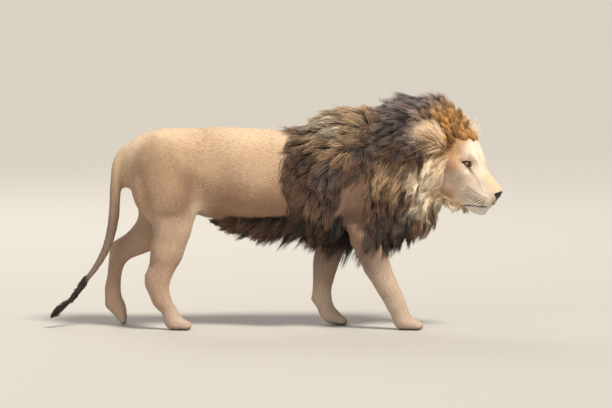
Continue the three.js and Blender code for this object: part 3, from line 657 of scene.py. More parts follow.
def markingsAndShade(points):
    mm = mirrored(points * 1000 - shift)
    p = toHead(points)
    m = mirrored(p)
    body = spreadRows(mm, np.array([r[:3] for r in bodyTints], float), np.array([tone(r[3]) for r in bodyTints]))
    face = spreadRows(m, np.array([r[:3] for r in faceTints], float), np.array([tone(r[3]) for r in faceTints]), 4, 10)
    # The body's relief is painted in: painted shade in hollows and creases, painted highlight on lit edges.
    for a, b, spread, amount in bodyPaintedShading:
        body = body * (1 + amount * np.exp(-(farFromLine(mm, [a, b]) / spread) ** 2))[:, None]
    edge = np.interp(mm[:, 2], (500, 650, 950), (-840, -866, -892))
    tail = step(0, -30, mm[:, 0] - edge) * step(60, 46, mm[:, 1])
    body = mix(body, tone("tail") * 0.4 + tone("tailDark") * 0.6, tail * step(960, 300, mm[:, 2]))
    share = step(-120, -60, p[:, 0]) * (mm[:, 0] > 560) * (mm[:, 2] > 420)
    colours = body + share[:, None] * (face - body)
    q, r, across, high = lidRing(p)
    near = (share > 0) & (p[:, 0] > -60)
    over = p[:, 2] - lipHeight(p)
    colours = mix(colours, tone("white"), 0.95 * near * np.exp(-(((m - (14, 62, -34)) / (22, 18, 9)) ** 2).sum(1)))
    colours = mix(colours, tone("white"), 0.6 * near * np.exp(-(((m - (18, 44, 24)) / (18, 16, 7)) ** 2).sum(1)))
    colours = mix(colours, tone("stripe"), 0.8 * near * np.exp(-(((m - (40, 30, 46)) / (26, 5, 20)) ** 2).sum(1)))
    colours = mix(colours, tone("stripe"), 0.7 * near * np.exp(-(((m - (4, 66, 30)) / (22, 5, 7)) ** 2).sum(1)))
    colours = mix(colours, tone("stripe"), 0.55 * near * np.exp(-(((m - (60, 12, 62)) / (30, 3.5, 26)) ** 2).sum(1)))
    tearDark = 0.95 - 0.62 * step(34, 74, m[:, 0]) - 0.33 * step(118, 150, m[:, 0])
    line = farFromLine(m * (1, 0.06, 1), np.array(tearLine) * (1, 0.06, 1)) + 20 * step(30, 22, m[:, 1])
    colours = mix(colours, tone("whiskerSpot"), near * tearDark * np.exp(-(line / (7.4 - 3.4 * step(20, 90, m[:, 0]))) ** 2))
    rim = 1 - step(1.24 + 0.22 * (high > 0), 1.52 + 0.3 * (high > 0), q)
    corner = np.exp(-((across - 1.1) / 0.22) ** 2 - (high / 0.16) ** 2) * (r < 36)
    corner = corner + np.exp(-((across + 1.0) / 0.16) ** 2 - ((high - 0.03) / 0.12) ** 2) * (r < 36)
    colours = mix(colours, tone("black"), near * np.maximum(rim * (r < 34), corner))
    for row in range(4):
        rowHeight = -124 - 13 * row - 0.20 * (p[:, 0] - 130)
        lineAlong = np.exp(-((p[:, 2] - rowHeight) / 3.6) ** 2) * step(44, 66, p[:, 0]) * step(176, 160, p[:, 0])
        dots = 0.74 + 0.26 * np.cos((p[:, 0] - 100 + 3 * row) * 2 * math.pi / 13)
        colours = mix(colours, tone("whiskerSpot"), near * 0.85 * (m[:, 1] > 34) * lineAlong * dots)
    lips = np.exp(-(over / 4.8) ** 2) * step(-22, -4, p[:, 0]) * near * (m[:, 1] > 3)
    parting = np.exp(-(p[:, 1] / 3) ** 2) * (p[:, 0] > 150) * step(-152, -148, p[:, 2]) * step(-100, -112, p[:, 2])
    colours = mix(colours, tone("black"), 0.92 * np.maximum(lips, parting * near))
    leather = step(2.5, -1.0, m[:, 1] - noseWidth(p)) * (p[:, 0] > 165) * near
    colours = mix(colours, tone("black") * 1.5, leather)
    # The feet darken towards the floor as painted shade.
    footShade = step(22, 6, mm[:, 2])
    colours = mix(colours, tone("tailDark"), 0.7 * footShade)
    return np.clip(colours, 0, 1)


def shade(points, size=0.05, amount=0.07, seed=3):
    return 1 + amount * wave(points, size, seed)[:, None]


def paint(thing, colours, title="markingsAndShade"):
    layer = thing.data.attributes.new(title, "FLOAT_COLOR", "POINT")
    layer.data.foreach_set("color", np.column_stack([colours, np.ones(len(colours))]).astype(np.float32).ravel())


skinPoints = pointsOf(skin)
paint(skin, markingsAndShade(skinPoints) * shade(skinPoints, 0.07, 0.045))
print("markings painted")


# ---- materials

def fur(name, rough, sheen, bumpDepth, grains, layer="markingsAndShade", contrast=0.16):
    made, tree, shader = material(name, {"Roughness": rough, "Sheen Weight": sheen, "Sheen Roughness": 0.5, "Specular IOR Level": 0.28})
    mark = add(tree, "ShaderNodeAttribute", {"attribute_name": layer})
    place = add(tree, "ShaderNodeTexCoord")
    legs = add(tree, "ShaderNodeAttribute", {"attribute_name": "hanging"})
    lying = add(tree, "ShaderNodeMapping", {"Scale": (grains * 0.16, grains, grains)}, {"Vector": place.outputs["Object"]})
    hanging = add(tree, "ShaderNodeMapping", {"Scale": (grains, grains, grains * 0.16)}, {"Vector": place.outputs["Object"]})
    alongBody = add(tree, "ShaderNodeTexNoise", {"Scale": 1.0, "Detail": 4.0, "Roughness": 0.65}, {"Vector": lying.outputs["Vector"]})
    downLegs = add(tree, "ShaderNodeTexNoise", {"Scale": 1.0, "Detail": 4.0, "Roughness": 0.65}, {"Vector": hanging.outputs["Vector"]})
    hairs = add(tree, "ShaderNodeMix", {"data_type": "FLOAT"})
    tree.links.new(legs.outputs["Fac"], hairs.inputs[0])
    tree.links.new(alongBody.outputs["Fac"], hairs.inputs[2])
    tree.links.new(downLegs.outputs["Fac"], hairs.inputs[3])
    tone = add(tree, "ShaderNodeMapRange", {"From Min": 0.3, "From Max": 0.7, "To Min": 1 - contrast, "To Max": 1 + contrast}, {"Value": hairs.outputs[0]})
    colour = add(tree, "ShaderNodeVectorMath", {"operation": "SCALE"}, {"Scale": tone.outputs["Result"]})
    tree.links.new(mark.outputs["Color"], colour.inputs[0])
    tree.links.new(colour.outputs["Vector"], shader.inputs["Base Color"])
    bump = add(tree, "ShaderNodeBump", {"Strength": 0.8, "Distance": bumpDepth}, {"Height": hairs.outputs[0]})
    tree.links.new(bump.outputs["Normal"], shader.inputs["Normal"])
    return made


hide = fur("lion hide, short tawny fur", 0.78, 0.12, 0.0018, 200, contrast=0.22)
shortHair = fur("lion guard hair, short", 0.7, 0.10, 0.0006, 200, contrast=0.22)
maneHair = fur("lion mane hair", 0.48, 0.10, 0.0008, 520, contrast=0.14)


def leatherNose():
    made, tree, shader = material("nose leather, bare and damp", {"Roughness": 0.42, "Specular IOR Level": 0.45, "Coat Weight": 0.15, "Coat Roughness": 0.3})
    place = add(tree, "ShaderNodeTexCoord")
    cells = add(tree, "ShaderNodeTexVoronoi", {"Scale": 520.0}, {"Vector": place.outputs["Object"]})  # pebbles of 2 mm
    cloud = add(tree, "ShaderNodeTexNoise", {"Scale": 60.0, "Detail": 3.0}, {"Vector": place.outputs["Object"]})
    colour = ramp(tree, cloud.outputs["Fac"], [(0.3, "#120d0c"), (0.6, "#241917"), (0.8, "#3a2824")])
    tree.links.new(colour.outputs["Color"], shader.inputs["Base Color"])
    bump = add(tree, "ShaderNodeBump", {"Strength": 0.7, "Distance": 0.0006}, {"Height": cells.outputs["Distance"]})
    tree.links.new(bump.outputs["Normal"], shader.inputs["Normal"])
    return made


# ---- eyes: a ball with a raised clear front over an amber iris

eyePlan = {"radius": 21.4, "gaze": (0.84, 0.53, 0.04), "iris": 0.70, "pupil": 0.20, "bulge": 1.8}


def irisMaterial(title, centre, gaze):
    made, tree, shader = material(title, {"Roughness": 0.25, "IOR": 1.36, "Coat Weight": 0.7, "Coat Roughness": 0.02})
    place = add(tree, "ShaderNodeTexCoord")
    fromCentre = add(tree, "ShaderNodeVectorMath", {"operation": "SUBTRACT"})
    tree.links.new(place.outputs["Object"], fromCentre.inputs[0])
    fromCentre.inputs[1].default_value = centre
    outward = add(tree, "ShaderNodeVectorMath", {"operation": "NORMALIZE"})
    tree.links.new(fromCentre.outputs["Vector"], outward.inputs[0])
    facing = add(tree, "ShaderNodeVectorMath", {"operation": "DOT_PRODUCT"})
    tree.links.new(outward.outputs["Vector"], facing.inputs[0])
    facing.inputs[1].default_value = gaze
    angle = add(tree, "ShaderNodeMath", {"operation": "ARCCOSINE"})
    tree.links.new(facing.outputs["Value"], angle.inputs[0])
    streaks = add(tree, "ShaderNodeTexNoise", {"Scale": 900.0, "Detail": 2.0}, {"Vector": place.outputs["Object"]})
    ripple = add(tree, "ShaderNodeMath", {"operation": "MULTIPLY_ADD"})
    tree.links.new(streaks.outputs["Fac"], ripple.inputs[0])
    ripple.inputs[1].default_value = 0.10
    tree.links.new(angle.outputs["Value"], ripple.inputs[2])
    colour = ramp(tree, ripple.outputs["Value"], [
        (eyePlan["pupil"] + 0.03, "#050403"), (eyePlan["pupil"] + 0.07, "#6b3f12"), (0.42, "#a06c28"),
        (0.58, "#b98a40"), (eyePlan["iris"] - 0.01, "#5f3a16"), (eyePlan["iris"] + 0.06, "#140d09"),
    ])
    tree.links.new(colour.outputs["Color"], shader.inputs["Base Color"])
    return made


for side, node in ((-1, "eye_right"), (1, "eye_left")):
    outward = unit(np.array(lidPlan["facing"])) * (1, side, 1)
    centreHead = np.array((eyeX, side * eyeY, eyeZ)) + outward * lidPlan["out"]
    gazeHead = unit(np.array(eyePlan["gaze"]) * (1, side, 1))
    eye = ball(fromHead(centreHead), eyePlan["radius"] / 1000)
    eye.name = node.replace("eye", "eyeball")
    centre = fromHead(centreHead)
    gaze = gazeHead @ headAxes
    points = pointsOf(eye)
    front = unit(points - centre) @ gaze
    points = points + gaze * (step(0.70, 1.0, front) * eyePlan["bulge"] / 1000)[:, None]
    setPoints(eye, points)
    onlySelect(eye)
    bpy.ops.object.shade_smooth()
    eye.data.materials.append(irisMaterial("amber eye, wet " + node[4:], tuple(centre), tuple(gaze)))
    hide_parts(node)
    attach(eye, "root")
print("eyes made")


# ---- nose leather: the bare end of the nose, lifted off the skin and closed behind

def leatherPiece():
    centres = np.empty(len(skin.data.polygons) * 3, np.float32)
    skin.data.polygons.foreach_get("center", centres)
    p = toHead(centres.reshape(-1, 3).astype(float))
    chosen = (np.abs(p[:, 1]) < noseWidth(p) + 0.4) & (p[:, 0] > 165)
    onlySelect(skin)
    bpy.ops.object.duplicate()
    piece = bpy.context.object
    piece.name = "nose_leather"
    piece.data.polygons.foreach_set("select", ~chosen)
    bpy.ops.object.mode_set(mode="EDIT")
    bpy.ops.mesh.delete(type="FACE")
    bpy.ops.object.mode_set(mode="OBJECT")
    wall = piece.modifiers.new("wall", "SOLIDIFY")
    wall.thickness = 0.0024
    wall.offset = -0.4
    bpy.ops.object.modifier_apply(modifier="wall")
    bpy.ops.object.shade_smooth()
    piece.data.materials.clear()
    piece.data.materials.append(leatherNose())
    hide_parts("nose")
    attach(piece, "root")


leatherPiece()
print("nose leather made")


# ---- unwrap of the skin, where each tuft finds its place on the bake map

onlySelect(skin)
skin.data.uv_layers.new(name="OFBake")
bpy.ops.object.mode_set(mode="EDIT")
bpy.ops.mesh.select_all(action="SELECT")
bpy.ops.uv.smart_project(angle_limit=math.radians(66), island_margin=0.002)
bpy.ops.object.mode_set(mode="OBJECT")
mesh = skin.data
mesh.calc_loop_triangles()
corners = np.empty(len(mesh.loop_triangles) * 3, np.int32)
mesh.loop_triangles.foreach_get("vertices", corners)
corners = corners.reshape(-1, 3)
loops = np.empty(len(mesh.loop_triangles) * 3, np.int32)
mesh.loop_triangles.foreach_get("loops", loops)
flatMap = np.empty(len(mesh.loops) * 2, np.float32)
mesh.uv_layers["OFBake"].data.foreach_get("uv", flatMap)
flatMap = flatMap.reshape(-1, 2)[loops.reshape(-1, 3)]
skinPoints = pointsOf(skin)
skinNormals = normalsOf(skin)
cornerPoints = skinPoints[corners]
triangleAreas = np.linalg.norm(np.cross(cornerPoints[:, 1] - cornerPoints[:, 0], cornerPoints[:, 2] - cornerPoints[:, 0]), axis=1) / 2
skinTree = BVHTree.FromPolygons([Vector(v) for v in skinPoints], [list(map(int, c)) for c in corners])
print("skin unwrapped")


# ---- lie of the coat and the guide locks

bodyLie = [  # place in mm, way the coat lies; the same on both sides
    (-820, 60, 900, -0.6, 0.1, -0.8), (-600, 60, 1020, -1, 0, 0), (0, 60, 1020, -1, 0, 0.05), (-700, 190, 850, -0.75, 0, -0.6),
    (-300, 200, 850, -0.95, 0, -0.25), (0, 200, 800, -0.9, 0, -0.35), (-300, 150, 620, -0.95, 0, -0.3),
    (-650, 180, 650, -0.45, 0, -0.9), (-680, 150, 430, -0.3, 0, -0.95), (-860, 130, 430, -0.45, 0, -0.9),
    (-700, 120, 200, 0.1, 0, -1), (-900, 110, 250, 0.1, 0, -1), (-600, 120, 40, 0.9, 0, -0.4), (-880, 120, 40, 0.7, 0, -0.6),
    (340, 190, 750, -0.45, 0, -0.9), (340, 160, 500, -0.2, 0, -1), (480, 120, 300, 0.25, 0, -0.95),
    (600, 120, 60, 0.8, 0, -0.5), (250, 130, 300, -0.15, 0, -1), (200, 120, 40, 0.8, 0, -0.5), (-960, 20, 600, -0.2, 0, -1),
    (-1000, 20, 300, -0.55, 0, -0.85), (-880, 20, 900, -0.5, 0, -0.85), (-100, 60, 520, -1, 0, -0.1),
]
faceLie = [  # the same in head mm
    (190, 0, -60, -1, 0, 0.5), (120, 0, -10, -0.8, 0, 0.6), (70, 0, 60, -0.5, 0, 0.85), (20, 0, 120, -0.8, 0, 0.6),
    (130, 45, -100, -1, 0.2, 0.05), (130, 62, -160, -0.9, 0.3, -0.35), (180, 25, -140, -0.6, 0.7, -0.3),
    (60, 60, -80, -0.9, 0.4, -0.1), (0, 90, -80, -0.9, 0.2, -0.35), (-40, 100, -120, -0.85, 0, -0.5),
    (20, 50, 40, -0.6, 0.4, 0.7), (-50, 90, 40, -0.85, 0.3, 0.4), (130, 20, -240, -0.8, 0, -0.5), (30, 60, -230, -0.8, 0.1, -0.5),
]


def bothSides(rows, head):
    places, ways, rest = [], [], []
    for row in rows:
        for side in (1, -1):
            place = np.array(row[:3], float) * (1, side, 1)
            way = np.array(row[3:6], float) * (1, side, 1)
            if head:
                places.append(fromHead(place))
                ways.append(way @ headAxes)
            else:
                places.append((place + shift) / 1000)
                ways.append(way)
            rest.append(row[6:])
    return places, ways, rest


lieBody, lieFace = bothSides(bodyLie, False), bothSides(faceLie, True)
liePlaces = np.array(lieBody[0] + lieFace[0])
lieWays = np.array(lieBody[1] + lieFace[1])


def lieOfCoat(points):
    return unit(spreadRows(points, liePlaces, lieWays, 4, 0.03))


hangs = skin.data.attributes.new("hanging", "FLOAT", "POINT")
hangs.data.foreach_set("value", np.abs(lieOfCoat(skinPoints)[:, 2]).astype(np.float32))


def rootsOn(share, count):
    """roots"""
    weights = triangleAreas * share[corners].mean(1)
    total = weights.sum()
    edgesSum = np.cumsum(weights)
    at = (np.arange(count) + chance.uniform(0, 1, count)) / count * total
    face = np.minimum(np.searchsorted(edgesSum, at), len(weights) - 1)
    a, b = chance.uniform(0, 1, count), chance.uniform(0, 1, count)
    flip = a + b > 1
    a[flip], b[flip] = 1 - a[flip], 1 - b[flip]
    parts = np.column_stack([1 - a - b, a, b])
    points = (cornerPoints[face] * parts[:, :, None]).sum(1)
    normals = unit((skinNormals[corners[face]] * parts[:, :, None]).sum(1))
    places = (flatMap[face] * parts[:, :, None]).sum(1)
    return points, normals, places


def ontoSkin(points):
    hits = [skinTree.find_nearest(p) for p in points]
    return np.array([h[0] for h in hits]), np.array([h[1] for h in hits])


boxLimit = {"from": 0.212, "give": 0.032}  # hair eases off before it leaves the model's box at the sides


def strands(title, paths, ups, widths, rootTint, tipTint, places, surface, flat=0.4, point=0.25):
    """mesh"""
    count, rings = paths.shape[:2]
    wide = np.abs(paths[:, :, 1])
    over = np.maximum(wide - boxLimit["from"], 0) / boxLimit["give"]
    paths = paths.copy()
    paths[:, :, 1] = np.sign(paths[:, :, 1]) * (np.minimum(wide, boxLimit["from"]) + boxLimit["give"] * np.tanh(over))
    along = np.gradient(paths, axis=1)
    along = unit(along)
    across = unit(np.cross(along, ups[:, None] if ups.ndim == 2 else ups))
    up = np.cross(across, along)
    t = np.linspace(0, 1, rings)
    swell = (0.62 + 0.55 * np.sin(np.pi * np.minimum(t * 1.25, 1))) * (1 - (1 - point) * t ** 1.5)
    half = widths[:, None, None] * swell[None, :, None] / 2
    body = np.stack([
        paths - across * half - up * half * flat * 0.5,
        paths + across * half - up * half * flat * 0.5,
        paths + up * half * flat * 1.3,
    ], axis=2)[:, :-1]
    ringVertices = (rings - 1) * 3
    vertices = np.concatenate([body.reshape(count, ringVertices, 3), paths[:, -1:]], axis=1)
    faces = [(0, 2, 1)]
    for ring in range(rings - 2):
        for corner in range(3):
            a, b = ring * 3 + corner, ring * 3 + (corner + 1) % 3
            faces += [(a, b, b + 3), (a, b + 3, a + 3)]
    last = (rings - 2) * 3
    faces += [(last + c, last + (c + 1) % 3, ringVertices) for c in range(3)]
    faces = np.array(faces)
    perLock = ringVertices + 1
    allFaces = (faces[None] + (np.arange(count) * perLock)[:, None, None]).reshape(-1, 3)
    flatVertices = vertices.reshape(-1, 3)
    p0, p1, p2 = (flatVertices[allFaces[:300, i]] for i in range(3))
    centre = flatVertices[:perLock].mean(0)
    first = flatVertices[faces]
    volume = (np.cross(first[:, 0] - centre, first[:, 1] - centre) * (first[:, 2] - centre)).sum()
    if volume < 0:
        allFaces = allFaces[:, ::-1]
    made = bpy.data.meshes.new(title)
    made.vertices.add(len(flatVertices))
    made.vertices.foreach_set("co", flatVertices.astype(np.float32).ravel())
    made.loops.add(len(allFaces) * 3)
    made.loops.foreach_set("vertex_index", allFaces.astype(np.int32).ravel())
    made.polygons.add(len(allFaces))
    made.polygons.foreach_set("loop_start", np.arange(0, len(allFaces) * 3, 3, dtype=np.int32))
    made.update(calc_edges=True)
    level = np.concatenate([np.repeat(t[:-1], 3), [1.0]])
    tints = rootTint[:, None] + (tipTint - rootTint)[:, None] * (level ** 0.8)[None, :, None]
    layer = made.attributes.new("markingsAndShade", "FLOAT_COLOR", "POINT")
    layer.data.foreach_set("color", np.concatenate([tints.reshape(-1, 3), np.ones((len(flatVertices), 1))], axis=1).astype(np.float32).ravel())
    corner = np.concatenate([np.tile([0.0, 0.5, 1.0], rings - 1), [0.5]])
    patch = np.column_stack([corner, level]) * 0.003 - 0.0015
    spots = (places[:, None] + patch[None]).reshape(-1, 2)
    spots = np.clip(spots, 0, 1)
    bake = made.uv_layers.new(name="OFBake")
    bake.data.foreach_set("uv", spots[allFaces.ravel()].astype(np.float32).ravel())
    hangs = made.attributes.new("hanging", "FLOAT", "POINT")
    hangs.data.foreach_set("value", np.repeat(np.abs(along[:, 0, 2]), perLock).astype(np.float32))
    made.polygons.foreach_set("use_smooth", np.ones(len(allFaces), bool))
    made.materials.append(surface)
    piece = bpy.data.objects.new(title, made)
    bpy.context.scene.collection.objects.link(piece)
    return piece


# ---- mane, beard, belly fringe and tail tuft: locks that follow a table of guide locks

maneTints = {
    "umber": "#2b1d15", "soot": "#19110e", "bark": "#3f2c20", "cocoa": "#5c4231", "walnut": "#7f5c40", "ash": "#7d6a60",
    "smoke": "#b9a8a2", "straw": "#dcb88c", "sand": "#c9a37a", "gold": "#e6b26c", "amber": "#a8743a", "cream": "#fff0d6",
    "pale": "#eccba2", "oat": "#d3aa7c", "rust": "#83593a", "mist": "#7b6962",
}
headLocks = [  # place mm, way, length, lift, hang, root, tip; near side, mirrored over the head
    (880, -45, 1005, -0.35, -0.05, 0.9, 58, 0.9, 0.15, "amber", "gold"),
    (930, -50, 985, -0.75, 0.0, 0.5, 42, 0.35, 0.0, "amber", "gold"),
    (835, -60, 1040, -0.5, -0.05, 0.85, 85, 0.95, 0.15, "amber", "gold"),
    (800, -40, 1085, -0.55, -0.05, 0.8, 105, 1.1, 0.3, "bark", "oat"),
    (765, -30, 1120, -0.6, -0.05, 0.75, 125, 1.3, 0.4, "umber", "smoke"),
    (700, -40, 1140, -0.8, -0.05, 0.6, 135, 1.4, 0.4, "umber", "smoke"),
    (637, -30, 1160, -0.8, -0.05, 0.6, 140, 1.5, 0.4, "umber", "smoke"),
    (790, -100, 960, -0.75, -0.25, 0.5, 75, 0.8, 0.0, "amber", "gold"),
    (750, -130, 860, -0.6, -0.25, -0.75, 115, 0.65, 0.1, "straw", "cream"),
    (714, -135, 730, -0.4, -0.2, -0.9, 135, 0.6, 0.3, "pale", "cream"),
    (740, -115, 630, -0.3, -0.1, -0.95, 125, 0.55, 0.6, "straw", "cream"),
    (790, -125, 755, -0.5, -0.3, -0.8, 80, 0.5, 0.2, "pale", "cream"),
    (842, -85, 592, -0.4, -0.05, -0.9, 112, 0.5, 0.8, "straw", "cream"),
    (880, -70, 585, -0.55, -0.05, -0.8, 88, 0.5, 0.6, "straw", "cream"),
    (925, -60, 590, -0.7, -0.05, -0.6, 52, 0.4, 0.4, "pale", "cream"),
    (800, -60, 585, -0.35, -0.05, -0.9, 95, 0.45, 0.7, "sand", "cream"),
    (685, -160, 730, -0.4, -0.15, -0.9, 130, 0.6, 0.3, "pale", "cream"),
    (665, -160, 650, -0.3, -0.1, -0.95, 130, 0.6, 0.4, "straw", "cream"),
    (690, -160, 800, -0.5, -0.15, -0.85, 130, 0.6, 0.2, "straw", "cream"),
    (705, -140, 660, -0.3, -0.15, -0.95, 130, 0.6, 0.45, "pale", "cream"),
    (765, -120, 690, -0.35, -0.2, -0.9, 105, 0.5, 0.3, "pale", "cream"),
    (725, -140, 800, -0.45, -0.2, -0.85, 125, 0.6, 0.2, "pale", "cream"),
    (655, -160, 900, -0.7, -0.1, -0.65, 120, 0.55, 0.1, "umber", "walnut"),
    (640, -150, 1000, -0.75, -0.1, -0.55, 120, 0.6, 0.1, "umber", "ash"),
]
bodyLocks = [  # the same, mirrored over the body
    (586, -120, 1050, -0.8, -0.1, -0.45, 120, 0.8, 0.0, "soot", "mist"),
    (540, -40, 1150, -0.75, 0, 0.6, 130, 1.5, 0.35, "umber", "smoke"),
    (561, -170, 908, -0.75, 0, -0.65, 135, 0.65, 0.1, "soot", "walnut"),
    (520, -170, 840, -0.6, 0, -0.8, 135, 0.7, 0.1, "bark", "straw"),
    (484, -150, 984, -0.8, 0, -0.5, 120, 0.6, 0.0, "umber", "ash"),
    (408, -90, 1080, -0.55, 0, 0.65, 95, 1.4, 0.35, "bark", "straw"),
    (430, -130, 960, -0.7, 0, -0.5, 110, 0.6, 0.0, "bark", "walnut"),
    (316, -60, 1100, -0.75, 0, 0.55, 105, 1.4, 0.35, "bark", "pale"),
    (340, -140, 1010, -0.8, 0, 0.0, 100, 0.9, 0.0, "umber", "straw"),
    (345, -190, 880, -0.25, 0, -0.97, 125, 0.7, 0.2, "soot", "walnut"),
    (535, -185, 780, -0.5, 0, -0.85, 135, 0.6, 0.15, "umber", "oat"),
    (459, -195, 704, -0.2, 0, -0.97, 125, 0.65, 0.15, "soot", "walnut"),
    (440, -195, 820, -0.35, 0, -0.9, 120, 0.65, 0.1, "bark", "sand"),
    (612, -165, 704, -0.35, 0, -0.93, 125, 0.6, 0.3, "soot", "rust"),
    (586, -120, 590, -0.25, 0, -0.95, 130, 0.6, 0.9, "soot", "bark"),
    (484, -130, 590, -0.05, 0, -1, 145, 0.6, 1.0, "soot", "cocoa"),
    (535, -40, 560, -0.1, 0, -1, 140, 0.4, 1.0, "soot", "cocoa"),
    (640, -80, 590, -0.2, 0, -0.95, 110, 0.5, 0.9, "bark", "rust"),
    (255, -120, 1035, -0.95, -0.1, 0.15, 125, 1.2, 0.2, "walnut", "cream"),
    (178, -165, 950, -0.95, 0, -0.2, 120, 1.0, 0.0, "soot", "straw"),
    (150, -175, 900, -0.85, 0, -0.45, 110, 0.9, 0.0, "soot", "walnut"),
    (280, -185, 915, -0.8, 0, -0.5, 115, 0.9, 0.0, "umber", "oat"),
    (290, -195, 850, -0.5, 0, -0.85, 130, 0.9, 0.2, "soot", "walnut"),
    (345, -190, 805, -0.3, 0, -0.95, 120, 0.7, 0.3, "soot", "cocoa"),
    (102, -185, 857, -0.65, 0, -0.75, 95, 0.8, 0.0, "umber", "walnut"),
    (229, -195, 831, -0.55, 0, -0.85, 120, 0.9, 0.1, "soot", "ash"),
    (153, -200, 704, -0.15, 0, -1, 120, 0.8, 0.2, "soot", "walnut"),
    (229, -200, 678, 0.15, 0, -0.98, 125, 0.85, 0.3, "soot", "cocoa"),
    (178, -170, 602, 0.0, 0, -1, 125, 0.8, 0.7, "soot", "walnut"),
    (230, -150, 560, -0.2, 0, -1, 130, 0.6, 0.9, "soot", "bark"),
    (204, -90, 520, -0.7, 0, -0.7, 150, 0.3, 0.95, "soot", "cocoa"),
    (51, -80, 510, -0.72, 0, -0.7, 145, 0.3, 0.95, "soot", "cocoa"),
    (-102, -60, 510, -0.72, 0, -0.7, 135, 0.3, 0.95, "soot", "walnut"),
    (-230, -50, 520, -0.8, 0, -0.55, 100, 0.3, 0.8, "umber", "walnut"),
    (-340, -50, 520, -0.9, 0, -0.35, 50, 0.3, 0.5, "bark", "walnut"),
    (306, -60, 520, -0.35, 0, -0.95, 205, 0.3, 1.0, "soot", "bark"),
    (400, -40, 530, -0.2, 0, -0.97, 190, 0.3, 1.0, "soot", "bark"),
    (0, 0, 505, -0.7, 0, -0.7, 130, 0.3, 1.0, "soot", "bark"),
    (-1040, -5, 235, -0.6, 0, -0.8, 60, 0.4, 0.3, "umber", "bark"),
    (-1110, -5, 150, -0.7, 0, -0.72, 85, 0.5, 0.6, "umber", "bark"),
]
# A share of the mane's clumps is darkened as painted shade deep in the mane.
maneReach = {"thick": 0.056, "lappetThick": 0.034, "width": 3.9, "clump": 30, "pull": 0.76, "steps": 5, "shadowClumps": 0.16,
             "crownThick": 0.072, "tuftThick": 0.02}


def toneOf(name):
    return np.array(linear(maneTints[name]))


def guideTable():
    places, values = [], []
    for row in headLocks:
        place = (np.array(row[:3], float) + shift) / 1000
        p = toHead(place[None])[0]
        way = headAxes @ np.array(row[3:6])
        for flip in (1, -1):
            places.append(fromHead(p * (1, flip, 1)))
            values.append([*((way * (1, flip, 1)) @ headAxes), *row[6:9], *toneOf(row[9]), *toneOf(row[10])])
    for row in bodyLocks:
        for flip in (1, -1):
            places.append((np.array(row[:3]) * (1, flip, 1) + shift) / 1000)
            values.append([*(np.array(row[3:6]) * (1, flip, 1)), *row[6:9], *toneOf(row[9]), *toneOf(row[10])])
    return np.array(places), np.array(values)


guidePlaces, guideValues = guideTable()



def combed(points):
    return spreadRows(points, guidePlaces, guideValues, 6, 0.02)


nearMane = distancesTo(["mane_head", "mane_neck", "beard", "mane_breast", "belly_fringe"], skinPoints)
nearFlesh = distancesTo(["rump", "barrel", "chest", "head"] + legNodes + tailNodes, skinPoints)
skinMm = skinPoints * 1000 - shift
skinHead = toHead(skinPoints)
ragged = wave(skinPoints, 0.045, 8)
isMane = (nearMane < nearFlesh) | (lappet(skinPoints) > 0.36 + 0.14 * ragged)
high = np.clip((skinMm[:, 2] - 660) / 160, 0, 1)
bare = (skinMm[:, 0] > 276 + 34 * high + 16 * ragged) & (skinMm[:, 0] < 408 - 26 * high + 16 * ragged)
bare &= (skinMm[:, 2] < 775 + 22 * ragged) & (np.abs(skinMm[:, 1]) > 70)
fringeTop = np.interp(skinMm[:, 0], (-350, -300, -150, 60), (540, 556, 572, 585)) + 7 * ragged
isMane |= (skinMm[:, 2] < fringeTop) & (skinMm[:, 0] > -345) & (skinMm[:, 0] < 262)
isMane |= (skinMm[:, 0] > 240) & (skinMm[:, 0] < 470) & (skinMm[:, 2] > 800 + 20 * ragged)
isMane &= ~bare
isTuft = (skinMm[:, 0] < -1035) & (skinMm[:, 2] < 300)
isMane &= ~((skinMm[:, 2] < 470) | ((skinMm[:, 0] < -402) & (skinMm[:, 2] < 700)))
jawEdge = np.interp(skinHead[:, 2], (-262, -252, -240, -225, -188, -134), (104, 78, 26, 2, -28, -62))
isMane &= ~((skinHead[:, 0] > jawEdge) & (skinMm[:, 0] > 700))
earZone = np.linalg.norm((mirrored(skinHead) - (-150, 125, 66)) / (1, 1, 1.1), axis=1) < 50
isMane |= (skinHead[:, 0] > -72) & (skinHead[:, 2] > 112 + 9 * ragged) & (skinMm[:, 0] > 800)
jowl = (skinNormals @ headZ < -0.45) & (skinHead[:, 0] < 62 + 8 * ragged) & (skinHead[:, 0] > -95) & (skinHead[:, 2] < -165)
isMane |= jowl & (skinMm[:, 0] > 700)
isMane &= ~earZone
isMane |= isTuft
maneShare = relax(edgesOf(skin), isMane.astype(float), 2)

bedTint = combed(skinPoints)[:, 6:9]
skinTint = np.empty(len(skinPoints) * 4, np.float32)
skin.data.attributes["markingsAndShade"].data.foreach_get("color", skinTint)
skinTint = skinTint.reshape(-1, 4)
skinTint[:, :3] = mix(skinTint[:, :3].astype(float), bedTint, relax(edgesOf(skin), isMane.astype(float), 3))
skin.data.attributes["markingsAndShade"].data.foreach_set("color", skinTint.ravel())


maneRoom = {  # how far the locks of some pieces stand out
    "mane_crown": maneReach["crownThick"], "mane_shoulders": maneReach["lappetThick"], "tail_locks": maneReach["tuftThick"],
}


